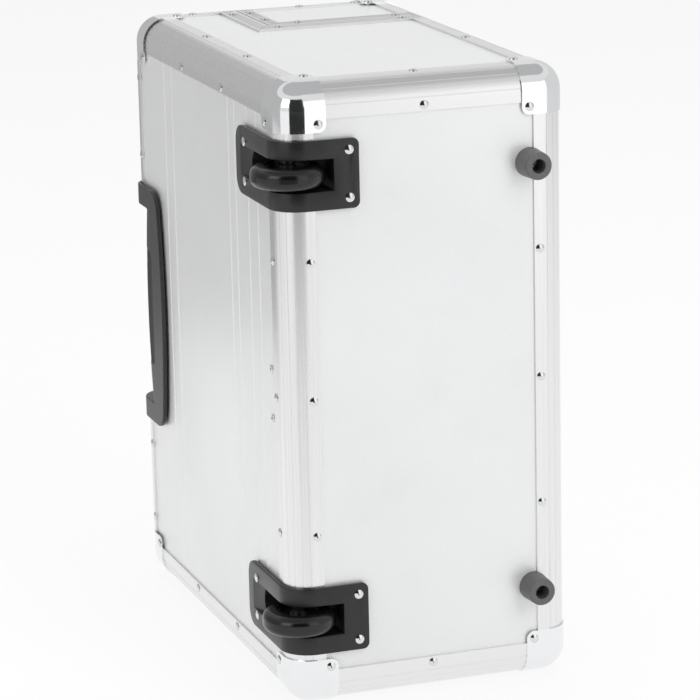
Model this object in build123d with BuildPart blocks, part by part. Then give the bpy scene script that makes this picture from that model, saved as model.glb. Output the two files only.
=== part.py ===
from build123d import *
import os

os.makedirs("parts", exist_ok=True)

# The case stands on its lower end. X runs from the back, where the wheels and the trolley are, to the
# front. Y runs from the base to the top of the case as it is carried. Z is up, along its length.
# The origin is on the floor, midway across everything that stands out of the shell.

# Shell, measured over the edge extrusions
case_depth = 228.0
case_height = 385.0
case_length = 480.0

# Wall, from the outside in
skin = 1.5
board = 5.0
inner_leg = 1.2
lining = 2.3
sheet_gap = 0.2

# Edge extrusions
edge_round = 20.0
edge_leg = 27.0
narrow_round = 14.0
narrow_leg = 18.0
web = 1.5
groove_radius = 0.28
groove_count = 5
joint_gap = 0.2
bead_width = 4.0
bead_depth = 0.5

# Corner caps
cap_wall = 1.2
cap_reach = 36.5
cap_ear_round = 6.0
cap_rivet_line = 30.4

# Rivets
rivet_head_radius = 3.5
rivet_head_height = 1.4
head_rim_share = 0.3
rivet_shank_radius = 1.6
rivet_line = 22.4
narrow_rivet_line = 16.1
rivet_from_end = 50.0
clear_of_cap = 40.2

# Places of the rivets and beads between the corners, as shares of the side that they lie along
base_back_share = 0.2202
base_front_share = 0.2085
back_top_share = 0.261
end_back_low_share = 0.135
end_back_high_share = 0.14
end_front_share = 0.109
end_top_share = 0.45
rim_rivet_share = 0.135
rim_upright_share = 0.66
lid_top_share = 0.38
lid_low_share = 0.3
lid_high_share = 0.67
lid_front_share = 0.35
lid_long_share = 0.229
bead_shares = (0.152, 0.2117, 0.2922, 0.3364, 0.726, 0.7805)

# Seam between the body and the lid, and the rims along it
seam_x_from_back = 84.0
seam_y_from_base = 276.5
seam_gap = 0.8
body_band = 20.0
body_upright_band = 15.0
lid_band = 12.0
rim_leg = 2.0
rim_web = 4.0
tongue_height = 4.0
tongue_wall = 4.0
tongue_gap = 0.5
line_width = 0.7
line_depth = 0.4

# Wheels, in housings let into the base edge
wheel_radius = 28.0
wheel_width = 16.0
wheel_inset_x = 9.5
wheel_inset_y = 10.5
wheel_from_end = 68.2
tyre_bore_radius = 17.0
tread_round = 6.5
hub_width = 14.0
axle_radius = 3.0
running_gap = 0.05
end_play = 0.1
spacer_radius = 5.5
housing_proud = 3.5
housing_height = 52.6
housing_reach_x = 61.0
housing_reach_y = 95.0
housing_back_round = 13.0
housing_base_round = 5.0
slot_height = 24.0
slot_reach_x = 41.0
slot_reach_y = 65.5
slot_end_round = 10.0
well_wall = 2.0
scoop_length = 18.0
housing_rivet_x = 53.0
housing_rivet_y = 74.0
housing_rivet_wide = 18.0
housing_rivet_narrow = 15.2

# Rubber feet
foot_from_end = 73.0
foot_from_front = 30.0
foot_radius = 11.5
foot_end_radius = 10.6
foot_bore_radius = 5.5
foot_floor = 4.0
foot_round = 1.2
screw_head_radius = 4.4
screw_head_height = 2.6
screw_shank_radius = 2.0

# Trolley: two tubes in two stages, a base bracket and a grip let into the back top edge
tube_offset = 96.5
tube_from_back = 29.0
tube_size_x = 20.0
tube_size_z = 12.0
tube_round = 4.0
tube_wall = 1.0
tube_gap = 0.3
stage_step = 4.0
bracket_from_base = 27.5
bracket_height = 16.0
bracket_half_length = 106.0
bracket_screw_offset = 19.2
bracket_screw_height = 8.0
bracket_screw_head = 3.4
bracket_screw_rise = 1.2
collar_size_x = 28.0
collar_size_z = 15.5
grip_half_length = 100.5
grip_proud = 4.2
grip_clearance = 0.4
grip_plate_reach = 64.5
grip_plate_bow = 9.0
grip_end_round = 17.0
grip_flat = 22.0
grip_round = 30.0
grip_arch = 8.0
grip_top_drop = 6.5
grip_reach_in = 36.0
grip_bar_depth = 12.0
arm_inner = 85.5
arm_round = 22.0
arm_rise = 3.5
arm_clearance = 0.5
arm_reach_in = 40.0
spigot_length = 24.0
spigot_gap = 0.1
finger_scoop_step = 1.5
finger_scoop_depth = 2.5
finger_scoop_half_length = 49.0
finger_scoop_low = 48.0
finger_scoop_top = 24.0
finger_scoop_round = 8.0
button_half_length = 26.0
button_width = 11.0
button_travel = 3.0
button_proud = 0.8
button_slide_gap = 0.3
notch_half_length = 88.5
notch_floor = 38.0
notch_reach_in = 38.0
notch_wall = 1.5

# Hinge along the seam at the top
knuckle_radius = 3.2
knuckle_bore = 1.6
knuckle_count = 13
knuckle_gap = 0.3
hinge_from_end = 50.0
leaf_wall = 1.2
leaf_width = 12.0
leaf_clearance = 0.3

# Latches at the front seam
latch_offset = 130.0
latch_width = 44.0
latch_height = 36.0
latch_below_seam = 2.0
latch_proud = 8.0
latch_round = 2.0
catch_width = 6.0
catch_depth = 14.0
cavity_floor = 2.5
cavity_roof = 1.5
bolt_radius = 1.4
bolt_drop = 10.0
bolt_back = 4.5
slide_drop = 25.0
slide_button = 8.0
slide_button_rise = 2.4
key_radius = 5.0
key_side = 12.0
key_proud = 1.0
key_slot_width = 1.2
key_slot_length = 6.0
hasp_axis_rise = 16.0
hasp_axis_out = 7.0
hasp_knuckle_radius = 3.0
hasp_pin_radius = 1.45
hasp_half_width = 8.0
hasp_knuckle_half = 4.7
hasp_mount_half = 12.0
hasp_wall = 1.6
hasp_cover_gap = 0.4
hasp_drop = 36.0
staple_width = 3.0
staple_height = 6.0
staple_bore = 1.8

# Carry handle on the lid
handle_pivot_from_seam = 48.0
handle_swing = 52.0
handle_half_length = 68.0
handle_arm = 14.0
handle_bar = 20.0
handle_thick = 12.0
handle_round = 3.5
handle_lift = 0.8
handle_pin_radius = 2.5
bracket_ear = 6.0
bracket_ear_gap = 2.0
bracket_width = 24.0
bracket_wall = 1.5
bracket_tail = 14.0

# Divider board inside
divider_above_middle = 60.0
divider_wall = 3.0
divider_gap = 0.3

# Planes of the shell
wheel_stand_out = wheel_radius - wheel_inset_x
base_stand_out = wheel_radius - wheel_inset_y
latch_stand_out = latch_proud + slide_button_rise
handle_stand_out = handle_lift + handle_thick
shell_mid_x = (wheel_stand_out - latch_stand_out) / 2
shell_mid_y = (base_stand_out - handle_stand_out) / 2
back_x = shell_mid_x - case_depth / 2
front_x = shell_mid_x + case_depth / 2
base_y = shell_mid_y - case_height / 2
top_y = shell_mid_y + case_height / 2
low_z = cap_wall + rivet_head_height
high_z = low_z + case_length
mid_z = low_z + case_length / 2
ends = ((low_z, 1), (high_z, -1))

# Depths below the envelope, and the seam lines
board_depth = skin + board
wall_depth = board_depth + inner_leg
lined_depth = wall_depth + lining
rim_depth = board_depth + rim_leg
seam_x = back_x + seam_x_from_back
seam_y = base_y + seam_y_from_base
lid_x = seam_x + seam_gap
lid_y = seam_y + seam_gap
edge_stop = edge_leg + joint_gap

LOW = (Align.MIN, Align.MIN, Align.MIN)
HANGING = (Align.CENTER, Align.CENTER, Align.MAX)
STANDING = (Align.CENTER, Align.CENTER, Align.MIN)


def block(low, high, mode=Mode.ADD):
    """Box between two opposite corners."""
    with Locations(low):
        Box(high[0] - low[0], high[1] - low[1], high[2] - low[2], align=LOW, mode=mode)


def arc_radius(half, rise):
    """Radius of an arc that rises by rise over a chord of twice half."""
    return (half ** 2 + rise ** 2) / (2 * rise)


def facing(point, normal):
    """Plane at a point of a surface, whose Z axis is the surface's outward normal."""
    return Plane(origin=point, z_dir=normal)


def drill(places, radius, depth):
    """Blind holes from a surface inwards."""
    with Locations(*places):
        Cylinder(radius, depth, align=HANGING, mode=Mode.SUBTRACT)


def save(piece, name):
    """Labels a finished piece and writes it."""
    piece.part.label = name
    export_step(piece.part, f"parts/{name}.step")


def headed_pin(head_radius, head_height, shank_radius, shank_length):
    """Rivet or screw with a domed head, its seat at the origin and its shank along -Z."""
    rim = head_rim_share * head_height
    with BuildPart() as pin:
        with BuildSketch(Plane.XZ) as half:
            with BuildLine():
                Polyline((0, head_height), (0, -shank_length), (shank_radius, -shank_length),
                         (shank_radius, 0), (head_radius, 0), (head_radius, rim))
                TangentArc((0, head_height), (head_radius, rim), tangent=(1, 0))
            make_face()
        revolve(half.sketch, axis=Axis.Z)
    return pin.part


rivet = headed_pin(rivet_head_radius, rivet_head_height, rivet_shank_radius, board_depth)


def edge_extrusion(start, run, leg_a, leg_b, length, rounding=edge_round, leg=edge_leg):
    """Grooved angle extrusion with pockets for two boards. Its outer corner line leaves start along run."""
    turn = Vector(*leg_a).cross(Vector(*leg_b)).dot(Vector(*run))
    along = leg_a if turn > 0 else leg_b
    with BuildPart() as extrusion:
        with BuildSketch(Plane(origin=start, x_dir=along, z_dir=run)):
            for inset, mode in ((0, Mode.ADD), (skin, Mode.SUBTRACT)):
                with BuildLine():
                    bend = FilletPolyline((leg, inset), (inset, inset), (inset, leg), radius=rounding - inset)
                    Polyline(bend @ 1, (leg, leg), bend @ 0)
                make_face(mode=mode)
            for a, b in ((0, 1), (1, 0)):
                with Locations((a * (rounding - web) + b * skin, b * (rounding - web) + a * skin)):
                    Rectangle(a * web + b * (board + inner_leg), b * web + a * (board + inner_leg),
                              align=(Align.MIN, Align.MIN))
                with Locations((a * (rounding - web) + b * board_depth,
                                b * (rounding - web) + a * board_depth)):
                    Rectangle(a * (leg - rounding + web) + b * inner_leg,
                              b * (leg - rounding + web) + a * inner_leg, align=(Align.MIN, Align.MIN))
            with Locations((rounding, rounding)):
                with PolarLocations(rounding, groove_count, start_angle=190, angular_range=70, endpoint=True):
                    Circle(groove_radius, mode=Mode.SUBTRACT)
        extrude(amount=length)
    return extrusion.part


def corner_block(reach, out, rounding):
    """Solid corner with its virtual corner at -out on each axis and its three edges rounded alike."""
    with BuildPart() as corner:
        block((-out, -out, -out), (reach, reach, reach))
        tip = corner.vertices().sort_by_distance((-out, -out, -out))[0]
        fillet([edge for edge in corner.edges() if tip in edge.vertices()], rounding)
    return corner.part


def corner_cap():
    """Ball-corner cap with rounded ears, its virtual corner at the origin and its faces inward of it."""
    with BuildPart() as cap:
        add(corner_block(cap_reach, cap_wall, edge_round + cap_wall))
        add(corner_block(2 * cap_reach, 0, edge_round), mode=Mode.SUBTRACT)
        for axis in (Axis.X, Axis.Y, Axis.Z):
            ears = cap.edges().filter_by(axis).group_by(SortBy.LENGTH)[0]
            fillet(ears, cap_ear_round)
    return cap.part


def corner_plane(x, y, z):
    """Plane at a shell corner whose three positive axes run inwards along the shell's edges."""
    sx = 1 if x == back_x else -1
    sy = 1 if y == base_y else -1
    sz = 1 if z == low_z else -1
    along = (sx, 0, 0) if sx * sy * sz > 0 else (0, sy, 0)
    return Plane(origin=(x, y, z), x_dir=along, z_dir=(0, 0, sz))


def cap_rivet_places(x, y, z):
    """Rivet seats on the three ears of a corner cap."""
    ix = x + cap_rivet_line * (1 if x == back_x else -1)
    iy = y + cap_rivet_line * (1 if y == base_y else -1)
    iz = z + cap_rivet_line * (1 if z == low_z else -1)
    out_x = -1 if x == back_x else 1
    out_y = -1 if y == base_y else 1
    out_z = -1 if z == low_z else 1
    return [facing((x + out_x * cap_wall, iy, iz), (out_x, 0, 0)),
            facing((ix, y + out_y * cap_wall, iz), (0, out_y, 0)),
            facing((ix, iy, z + out_z * cap_wall), (0, 0, out_z))]


def wrapped_band(plane, arm_start, face, outer, inner, width):
    """Band round the shell's two end edges, between two depths, with arms that start at arm_start."""
    half = case_length / 2
    with BuildPart() as band:
        with BuildSketch(plane):
            for depth, mode in ((outer, Mode.ADD), (inner, Mode.SUBTRACT)):
                with BuildLine():
                    bend = FilletPolyline((arm_start, half - depth), (face - depth, half - depth),
                                          (face - depth, depth - half), (arm_start, depth - half),
                                          radius=edge_round - depth)
                    Line(bend @ 1, bend @ 0)
                make_face(mode=mode)
        extrude(amount=width)
    return band.part


def rim(level, start, sign, width, arm_start, face, rebated):
    """Closure extrusion along the seam: outer leg, inner leg, web, and a tongue or a rebate for it.

    Level bands lie across Y and upright bands across X. The width is counted from the seam by sign.
    """
    if rebated:
        layers = [(0, skin, 0, width), (board_depth, rim_depth, tongue_height + tongue_gap, width),
                  (0, rim_depth - tongue_wall - tongue_gap, 0, rim_web),
                  (skin, rim_depth, tongue_height + tongue_gap, tongue_height + tongue_gap + rim_leg)]
    else:
        layers = [(0, skin, 0, width), (board_depth, rim_depth, 0, width), (0, rim_depth, 0, rim_web),
                  (rim_depth - tongue_wall, rim_depth, -tongue_height, 0)]
    lines = [(0, line_depth, share * width, share * width + line_width) for share in (0.3, 0.5, 0.7)]

    def band(outer, inner, near, far):
        low = min(start + sign * near, start + sign * far)
        if level:
            plane = Plane(origin=(0, low, mid_z), x_dir=(1, 0, 0), z_dir=(0, 1, 0))
        else:
            plane = Plane(origin=(low, 0, mid_z), x_dir=(0, 1, 0), z_dir=(1, 0, 0))
        return wrapped_band(plane, arm_start, face, outer, inner, abs(far - near))

    with BuildPart() as loop:
        for layer in layers:
            add(band(*layer))
        for line in lines:
            add(band(*line), mode=Mode.SUBTRACT)
        for end, inward in ends:
            z = end + inward * edge_round
            block((back_x, base_y, z - joint_gap / 2), (front_x, top_y, z + joint_gap / 2), Mode.SUBTRACT)
        turn = face - edge_round
        if level:
            block((turn - joint_gap / 2, base_y, low_z), (turn + joint_gap / 2, top_y, high_z), Mode.SUBTRACT)
        else:
            block((back_x, turn - joint_gap / 2, low_z), (front_x, turn + joint_gap / 2, high_z),
                  Mode.SUBTRACT)
    return loop.part


def mitre(piece, level, corner, toward):
    """Cuts a seam piece along the line between the inner and outer corners of the seam's angle."""
    run = (Vector(*toward) - Vector(*corner)).normalized()
    side = Vector(run.Y, -run.X, 0) if level else Vector(-run.Y, run.X, 0)
    start = Vector(*corner) + side * (joint_gap / 2)
    return split(piece, bisect_by=Plane(origin=(start.X, start.Y, mid_z), z_dir=side), keep=Keep.TOP,
                 mode=Mode.PRIVATE)


def rim_set(x_start, y_start, sign, x_width, y_width, rebated):
    """Both legs of a rim, mitred where they meet on the end faces."""
    inner = (x_start, y_start, 0)
    outer = (x_start + sign * x_width, y_start + sign * y_width, 0)
    reach = tongue_height + rim_leg
    far_x = min(inner[0], outer[0]) - (0 if rebated else reach)
    far_y = min(inner[1], outer[1]) - (0 if rebated else reach)
    level = rim(True, y_start, sign, y_width, far_x, front_x, rebated)
    upright = rim(False, x_start, sign, x_width, far_y, top_y, rebated)
    low, high = (inner, outer) if sign > 0 else (outer, inner)
    return mitre(level, True, low, high), mitre(upright, False, low, high)


def tube(x, z, size_x, size_z, low, high, wall=tube_wall):
    """Flat-sided tube along Y with rounded corners."""
    with BuildPart() as stage:
        with BuildSketch(Plane(origin=(x, low, z), x_dir=(1, 0, 0), z_dir=(0, 1, 0))):
            RectangleRounded(size_x, size_z, min(tube_round, size_z / 2 - 0.1))
            RectangleRounded(size_x - 2 * wall, size_z - 2 * wall,
                             min(tube_round, size_z / 2 - 0.1) - wall, mode=Mode.SUBTRACT)
        extrude(amount=high - low)
    return stage.part


# Places that several pieces share
wheel_x = back_x + wheel_inset_x
wheel_y = base_y + wheel_inset_y
wheel_offset = case_length / 2 - wheel_from_end
wheel_heights = (mid_z + wheel_offset, mid_z - wheel_offset)
foot_x = front_x - foot_from_front
foot_offset = case_length / 2 - foot_from_end
foot_heights = (mid_z + foot_offset, mid_z - foot_offset)
tube_x = back_x + tube_from_back
tube_heights = (mid_z + tube_offset, mid_z - tube_offset)
latch_heights = (mid_z + latch_offset, mid_z - latch_offset)
body_corners = [(back_x, base_y), (back_x, top_y), (front_x, base_y)]
hinge_x = (seam_x + lid_x) / 2
hinge_y = top_y + knuckle_radius
hinge_length = case_length - 2 * hinge_from_end
lid_depth = front_x - lid_x
lid_height = top_y - lid_y
end_rivet = case_length / 2 - rivet_from_end
well_height = slot_height + 2 * well_wall
notch_low = top_y - notch_floor
notch_in = back_x + notch_reach_in
false_wall_x = notch_in + notch_wall + 1.0
false_wall_front = false_wall_x + lining + 0.5

# Rivet seats, piece by piece
base_back_rivets = []
for offset in (0, base_back_share * case_length, -base_back_share * case_length):
    base_back_rivets.append(facing((back_x + rivet_line, base_y, mid_z + offset), (0, -1, 0)))
    base_back_rivets.append(facing((back_x, base_y + rivet_line, mid_z + offset), (-1, 0, 0)))
base_front_rivets = []
for offset in (0, base_front_share * case_length, -base_front_share * case_length):
    base_front_rivets.append(facing((front_x - rivet_line, base_y, mid_z + offset), (0, -1, 0)))
    base_front_rivets.append(facing((front_x, base_y + rivet_line, mid_z + offset), (1, 0, 0)))
back_top_rivets = []
for offset in (back_top_share * case_length, -back_top_share * case_length, end_rivet, -end_rivet):
    back_top_rivets.append(facing((back_x, top_y - narrow_rivet_line, mid_z + offset), (-1, 0, 0)))
    back_top_rivets.append(facing((back_x + narrow_rivet_line, top_y, mid_z + offset), (0, 1, 0)))
end_edge_rivets = {low_z: [], high_z: []}
for end, inward in ends:
    seats = end_edge_rivets[end]
    face_z = end + inward * rivet_line
    seats.append(facing((shell_mid_x, base_y + rivet_line, end), (0, 0, -inward)))
    seats.append(facing((shell_mid_x, base_y, face_z), (0, -1, 0)))
    for offset in (-end_back_low_share * case_height, end_back_high_share * case_height):
        seats.append(facing((back_x + rivet_line, shell_mid_y + offset, end), (0, 0, -inward)))
        seats.append(facing((back_x, shell_mid_y + offset, face_z), (-1, 0, 0)))
    y = shell_mid_y - end_front_share * case_height
    seats.append(facing((front_x - rivet_line, y, end), (0, 0, -inward)))
    seats.append(facing((front_x, y, face_z), (1, 0, 0)))
    x = seam_x - end_top_share * seam_x_from_back
    seats.append(facing((x, top_y - rivet_line, end), (0, 0, -inward)))
    seats.append(facing((x, top_y, face_z), (0, 1, 0)))
body_rim_rivets = []
lid_rim_rivets = []
for end, inward in ends:
    for x in (seam_x + 6.0, front_x - 32.0):
        body_rim_rivets.append(facing((x, seam_y - body_band * 0.42, end), (0, 0, -inward)))
    for x in (seam_x + 28.0, front_x - 32.0):
        lid_rim_rivets.append(facing((x, lid_y + lid_band * 0.55, end), (0, 0, -inward)))
    upright_y = seam_y + rim_upright_share * lid_height
    body_rim_rivets.append(facing((seam_x - body_upright_band * 0.5, upright_y, end), (0, 0, -inward)))
    for y in (lid_y + lid_low_share * lid_height, lid_y + lid_high_share * lid_height):
        lid_rim_rivets.append(facing((lid_x + lid_band * 0.55, y, end), (0, 0, -inward)))
for offset in (-end_rivet, -rim_rivet_share * case_length, rim_rivet_share * case_length, end_rivet):
    body_rim_rivets.append(facing((front_x, seam_y - body_band * 0.42, mid_z + offset), (1, 0, 0)))
    lid_rim_rivets.append(facing((front_x, lid_y + lid_band * 0.55, mid_z + offset), (1, 0, 0)))
hinge_body_rivets = []
hinge_lid_rivets = []
leaf_rivet = (knuckle_radius + leaf_clearance + leaf_width) / 2
knuckle_pitch = hinge_length / knuckle_count
for index in range(1, knuckle_count, 2):
    z = mid_z + (index - (knuckle_count - 1) / 2) * knuckle_pitch
    hinge_body_rivets.append(facing((hinge_x - leaf_rivet, top_y + leaf_wall, z), (0, 1, 0)))
    hinge_lid_rivets.append(facing((hinge_x + leaf_rivet, top_y + leaf_wall, z), (0, 1, 0)))
lid_edge_rivets = []
for end, inward in ends:
    face_z = end + inward * rivet_line
    for x in (lid_x + lid_top_share * lid_depth, front_x - clear_of_cap):
        lid_edge_rivets.append(facing((x, top_y - rivet_line, end), (0, 0, -inward)))
        lid_edge_rivets.append(facing((x, top_y, face_z), (0, 1, 0)))
    lid_edge_rivets.append(facing((front_x, lid_y + lid_front_share * lid_height, face_z), (1, 0, 0)))
for offset in (0, lid_long_share * case_length, -lid_long_share * case_length):
    lid_edge_rivets.append(facing((front_x, top_y - rivet_line, mid_z + offset), (1, 0, 0)))
    lid_edge_rivets.append(facing((front_x - rivet_line, top_y, mid_z + offset), (0, 1, 0)))
housing_rivets = []
for z in wheel_heights:
    for side in (-1, 1):
        housing_rivets.append(facing((back_x + housing_rivet_x, base_y - housing_proud,
                                      z + side * housing_rivet_wide), (0, -1, 0)))
        housing_rivets.append(facing((back_x - housing_proud, base_y + housing_rivet_y,
                                      z + side * housing_rivet_narrow), (-1, 0, 0)))
bracket_screw_y = base_y + bracket_from_base + bracket_screw_height
bracket_screws = [facing((back_x + skin, bracket_screw_y, mid_z + side * bracket_screw_offset), (-1, 0, 0))
                  for side in (-1, 1)]
foot_screws = [facing((foot_x, base_y + skin - foot_floor, z), (0, -1, 0)) for z in foot_heights]

cap_seats = {(x, y, end): cap_rivet_places(x, y, end) for x, y in body_corners for end, inward in ends}
lid_cap_seats = {(front_x, top_y, end): cap_rivet_places(front_x, top_y, end) for end, inward in ends}
body_cap_seats = [seat for seats in cap_seats.values() for seat in seats]
lid_cap_seats_all = [seat for seats in lid_cap_seats.values() for seat in seats]


def wheel_wells():
    """Space that the two wheel housings take inside the shell."""
    for z in wheel_heights:
        block((back_x - 1, base_y - 1, z - well_height / 2 - joint_gap),
              (back_x + slot_reach_x + well_wall + joint_gap, base_y + slot_reach_y + well_wall + joint_gap,
               z + well_height / 2 + joint_gap), Mode.SUBTRACT)


def grip_notch():
    """Cut-out of the back top edge that the grip well fills."""
    half = notch_half_length + notch_wall + joint_gap
    block((back_x - 1, notch_low - notch_wall - joint_gap, mid_z - half),
          (notch_in + notch_wall + joint_gap, top_y + 1, mid_z + half), Mode.SUBTRACT)


# Panels
with BuildPart() as bottom_panel:
    block((back_x + edge_round, base_y + skin, low_z + edge_round),
          (front_x - edge_round, base_y + board_depth, high_z - edge_round))
    wheel_wells()
    drill(base_back_rivets + base_front_rivets + end_edge_rivets[low_z] + end_edge_rivets[high_z],
          rivet_shank_radius, board_depth)
    drill(body_cap_seats + housing_rivets, rivet_shank_radius, board_depth + housing_proud)
    drill(foot_screws, screw_shank_radius, board + foot_floor)
save(bottom_panel, "bottom_panel")

with BuildPart() as back_panel:
    block((back_x + skin, base_y + edge_round, low_z + edge_round),
          (back_x + board_depth, top_y - narrow_round, high_z - edge_round))
    bead_radius = arc_radius(bead_width / 2, bead_depth)
    for share in bead_shares:
        with Locations((back_x + skin + bead_depth - bead_radius, base_y + share * case_height, low_z)):
            Cylinder(bead_radius, high_z - low_z, align=STANDING, mode=Mode.SUBTRACT)
    wheel_wells()
    grip_notch()
    drill(base_back_rivets + back_top_rivets + end_edge_rivets[low_z] + end_edge_rivets[high_z],
          rivet_shank_radius, board_depth)
    drill(body_cap_seats + housing_rivets, rivet_shank_radius, board_depth + housing_proud)
    drill(bracket_screws, screw_shank_radius, board)
save(back_panel, "back_panel")

with BuildPart() as front_panel:
    block((front_x - board_depth, base_y + edge_round, low_z + edge_round),
          (front_x - skin, seam_y - rim_web, high_z - edge_round))
    drill(base_front_rivets + body_rim_rivets + end_edge_rivets[low_z] + end_edge_rivets[high_z],
          rivet_shank_radius, board_depth)
    drill(body_cap_seats, rivet_shank_radius, board_depth + cap_wall)
save(front_panel, "front_panel")

with BuildPart() as top_strip_panel:
    block((back_x + narrow_round, top_y - board_depth, low_z + edge_round),
          (seam_x - rim_web, top_y - skin, high_z - edge_round))
    grip_notch()
    for z in tube_heights:
        block((tube_x - tube_size_x / 2, base_y, z - tube_size_z / 2),
              (tube_x + tube_size_x / 2, top_y, z + tube_size_z / 2), Mode.SUBTRACT)
    drill(back_top_rivets + end_edge_rivets[low_z] + end_edge_rivets[high_z] + hinge_body_rivets,
          rivet_shank_radius, board_depth)
    drill(body_cap_seats, rivet_shank_radius, board_depth + cap_wall)
save(top_strip_panel, "top_strip_panel")

for name, end, inward in (("upper_end_panel", high_z, -1), ("lower_end_panel", low_z, 1)):
    outer_z = end + inward * skin
    inner_z = end + inward * board_depth
    with BuildPart() as end_panel:
        block((back_x + edge_round, base_y + edge_round, min(outer_z, inner_z)),
              (front_x - edge_round, top_y - edge_round, max(outer_z, inner_z)))
        mitre_drop = rim_web * body_band / body_upright_band + joint_gap
        block((seam_x - rim_web, seam_y - mitre_drop, low_z), (front_x, top_y, high_z), Mode.SUBTRACT)
        drill(end_edge_rivets[end] + body_rim_rivets, rivet_shank_radius, board_depth)
        drill(body_cap_seats, rivet_shank_radius, board_depth + cap_wall)
    save(end_panel, name)

# Edge extrusions of the body
run_length = case_length - 2 * edge_stop
with BuildPart() as back_bottom_edge:
    add(edge_extrusion((back_x, base_y, low_z + edge_stop), (0, 0, 1), (1, 0, 0), (0, 1, 0), run_length))
    wheel_wells()
    drill(base_back_rivets, rivet_shank_radius, board_depth)
save(back_bottom_edge, "back_bottom_edge")

with BuildPart() as front_bottom_edge:
    add(edge_extrusion((front_x, base_y, low_z + edge_stop), (0, 0, 1), (-1, 0, 0), (0, 1, 0), run_length))
    drill(base_front_rivets, rivet_shank_radius, board_depth)
save(front_bottom_edge, "front_bottom_edge")

with BuildPart() as back_top_edge:
    add(edge_extrusion((back_x, top_y, low_z + cap_reach), (0, 0, 1), (1, 0, 0), (0, -1, 0),
                       case_length - 2 * cap_reach, narrow_round, narrow_leg))
    grip_notch()
    for z in tube_heights:
        block((tube_x - tube_size_x / 2, base_y, z - tube_size_z / 2),
              (tube_x + tube_size_x / 2, top_y, z + tube_size_z / 2), Mode.SUBTRACT)
    drill(back_top_rivets, rivet_shank_radius, board_depth)
save(back_top_edge, "back_top_edge")

for name, end, inward in (("upper_end_edges", high_z, -1), ("lower_end_edges", low_z, 1)):
    up = (0, 0, inward)
    with BuildPart() as end_edges:
        add(edge_extrusion((back_x + edge_stop, base_y, end), (1, 0, 0), (0, 1, 0), up,
                           case_depth - 2 * edge_stop))
        add(edge_extrusion((back_x, base_y + edge_stop, end), (0, 1, 0), (1, 0, 0), up,
                           case_height - 2 * edge_stop))
        add(edge_extrusion((front_x, base_y + edge_stop, end), (0, 1, 0), (-1, 0, 0), up,
                           seam_y - body_band - joint_gap - base_y - edge_stop))
        add(edge_extrusion((back_x + edge_stop, top_y, end), (1, 0, 0), (0, -1, 0), up,
                           seam_x - body_upright_band - joint_gap - back_x - edge_stop))
        drill(end_edge_rivets[end], rivet_shank_radius, board_depth)
    save(end_edges, name)

# Rim of the body along the seam
level_leg, upright_leg = rim_set(seam_x, seam_y, -1, body_upright_band, body_band, False)
with BuildPart() as body_rim:
    add(level_leg)
    add(upright_leg)
    drill(body_rim_rivets + hinge_body_rivets, rivet_shank_radius, board_depth)
save(body_rim, "body_rim")

# Corner caps of the body
cap = corner_cap()
for name, end in (("upper_corner_caps", high_z), ("lower_corner_caps", low_z)):
    with BuildPart() as corner_caps:
        for x, y in body_corners:
            with Locations(corner_plane(x, y, end)):
                add(cap)
            drill(cap_seats[(x, y, end)], rivet_shank_radius, 2 * cap_wall)
    save(corner_caps, name)

with BuildPart() as cap_rivets:
    with Locations(*body_cap_seats):
        add(rivet)
save(cap_rivets, "cap_rivets")

with BuildPart() as body_rivets:
    with Locations(*base_back_rivets, *base_front_rivets, *back_top_rivets, *end_edge_rivets[low_z],
                   *end_edge_rivets[high_z], *body_rim_rivets, *hinge_body_rivets, *housing_rivets):
        add(rivet)
save(body_rivets, "body_rivets")


def wheel_housing(z):
    """Moulded housing that wraps the base edge, with a well for the wheel."""
    with BuildPart() as housing:
        with BuildSketch(Plane.XY.offset(z - housing_height / 2)):
            for out, mode in ((housing_proud, Mode.ADD), (0, Mode.SUBTRACT)):
                with BuildLine():
                    bend = FilletPolyline((back_x + housing_reach_x, base_y - out),
                                          (back_x - out, base_y - out),
                                          (back_x - out, base_y + housing_reach_y), radius=edge_round + out)
                    Polyline(bend @ 1, (back_x + housing_reach_x, base_y + housing_reach_y), bend @ 0)
                make_face(mode=mode)
        extrude(amount=housing_height)
        thin = housing.edges().filter_by(Axis.X).group_by(Axis.Y)[-1]
        fillet(thin, housing_back_round)
        thin = housing.edges().filter_by(Axis.Y).group_by(Axis.X)[-1]
        fillet(thin, housing_base_round)
        block((back_x, base_y + edge_leg + joint_gap, z - housing_height / 2 + housing_back_round),
              (back_x + skin, base_y + housing_reach_y, z + housing_height / 2 - housing_back_round))
        block((back_x + edge_leg + joint_gap, base_y, z - housing_height / 2 + housing_base_round),
              (back_x + housing_reach_x, base_y + skin, z + housing_height / 2 - housing_base_round))
        with BuildSketch(Plane.XY.offset(z - well_height / 2)):
            with BuildLine():
                bend = FilletPolyline((back_x + slot_reach_x + well_wall, base_y), (back_x, base_y),
                                      (back_x, base_y + slot_reach_y + well_wall), radius=edge_round)
                Polyline(bend @ 1, (back_x + slot_reach_x + well_wall, base_y + slot_reach_y + well_wall),
                         bend @ 0)
            make_face()
        extrude(amount=well_height)
        add(slot_block(z), mode=Mode.SUBTRACT)
        with BuildSketch(Plane.XY.offset(z - slot_height / 2)):
            with BuildLine():
                Polyline((back_x - housing_proud - 1, base_y + slot_reach_y + scoop_length + 5),
                         (back_x - housing_proud - 1, base_y + slot_reach_y - slot_end_round),
                         (back_x, base_y + slot_reach_y - slot_end_round),
                         (back_x, base_y + slot_reach_y),
                         (back_x - housing_proud - 1, base_y + slot_reach_y + scoop_length + 5))
            make_face()
        extrude(amount=slot_height, mode=Mode.SUBTRACT)
        with Locations((wheel_x, wheel_y, z)):
            Cylinder(axle_radius, well_height + 2, mode=Mode.SUBTRACT)
        seats = [seat for seat in housing_rivets if abs(seat.origin.Z - z) < housing_height]
        drill(seats, rivet_shank_radius, housing_proud + skin)
    return housing


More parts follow.
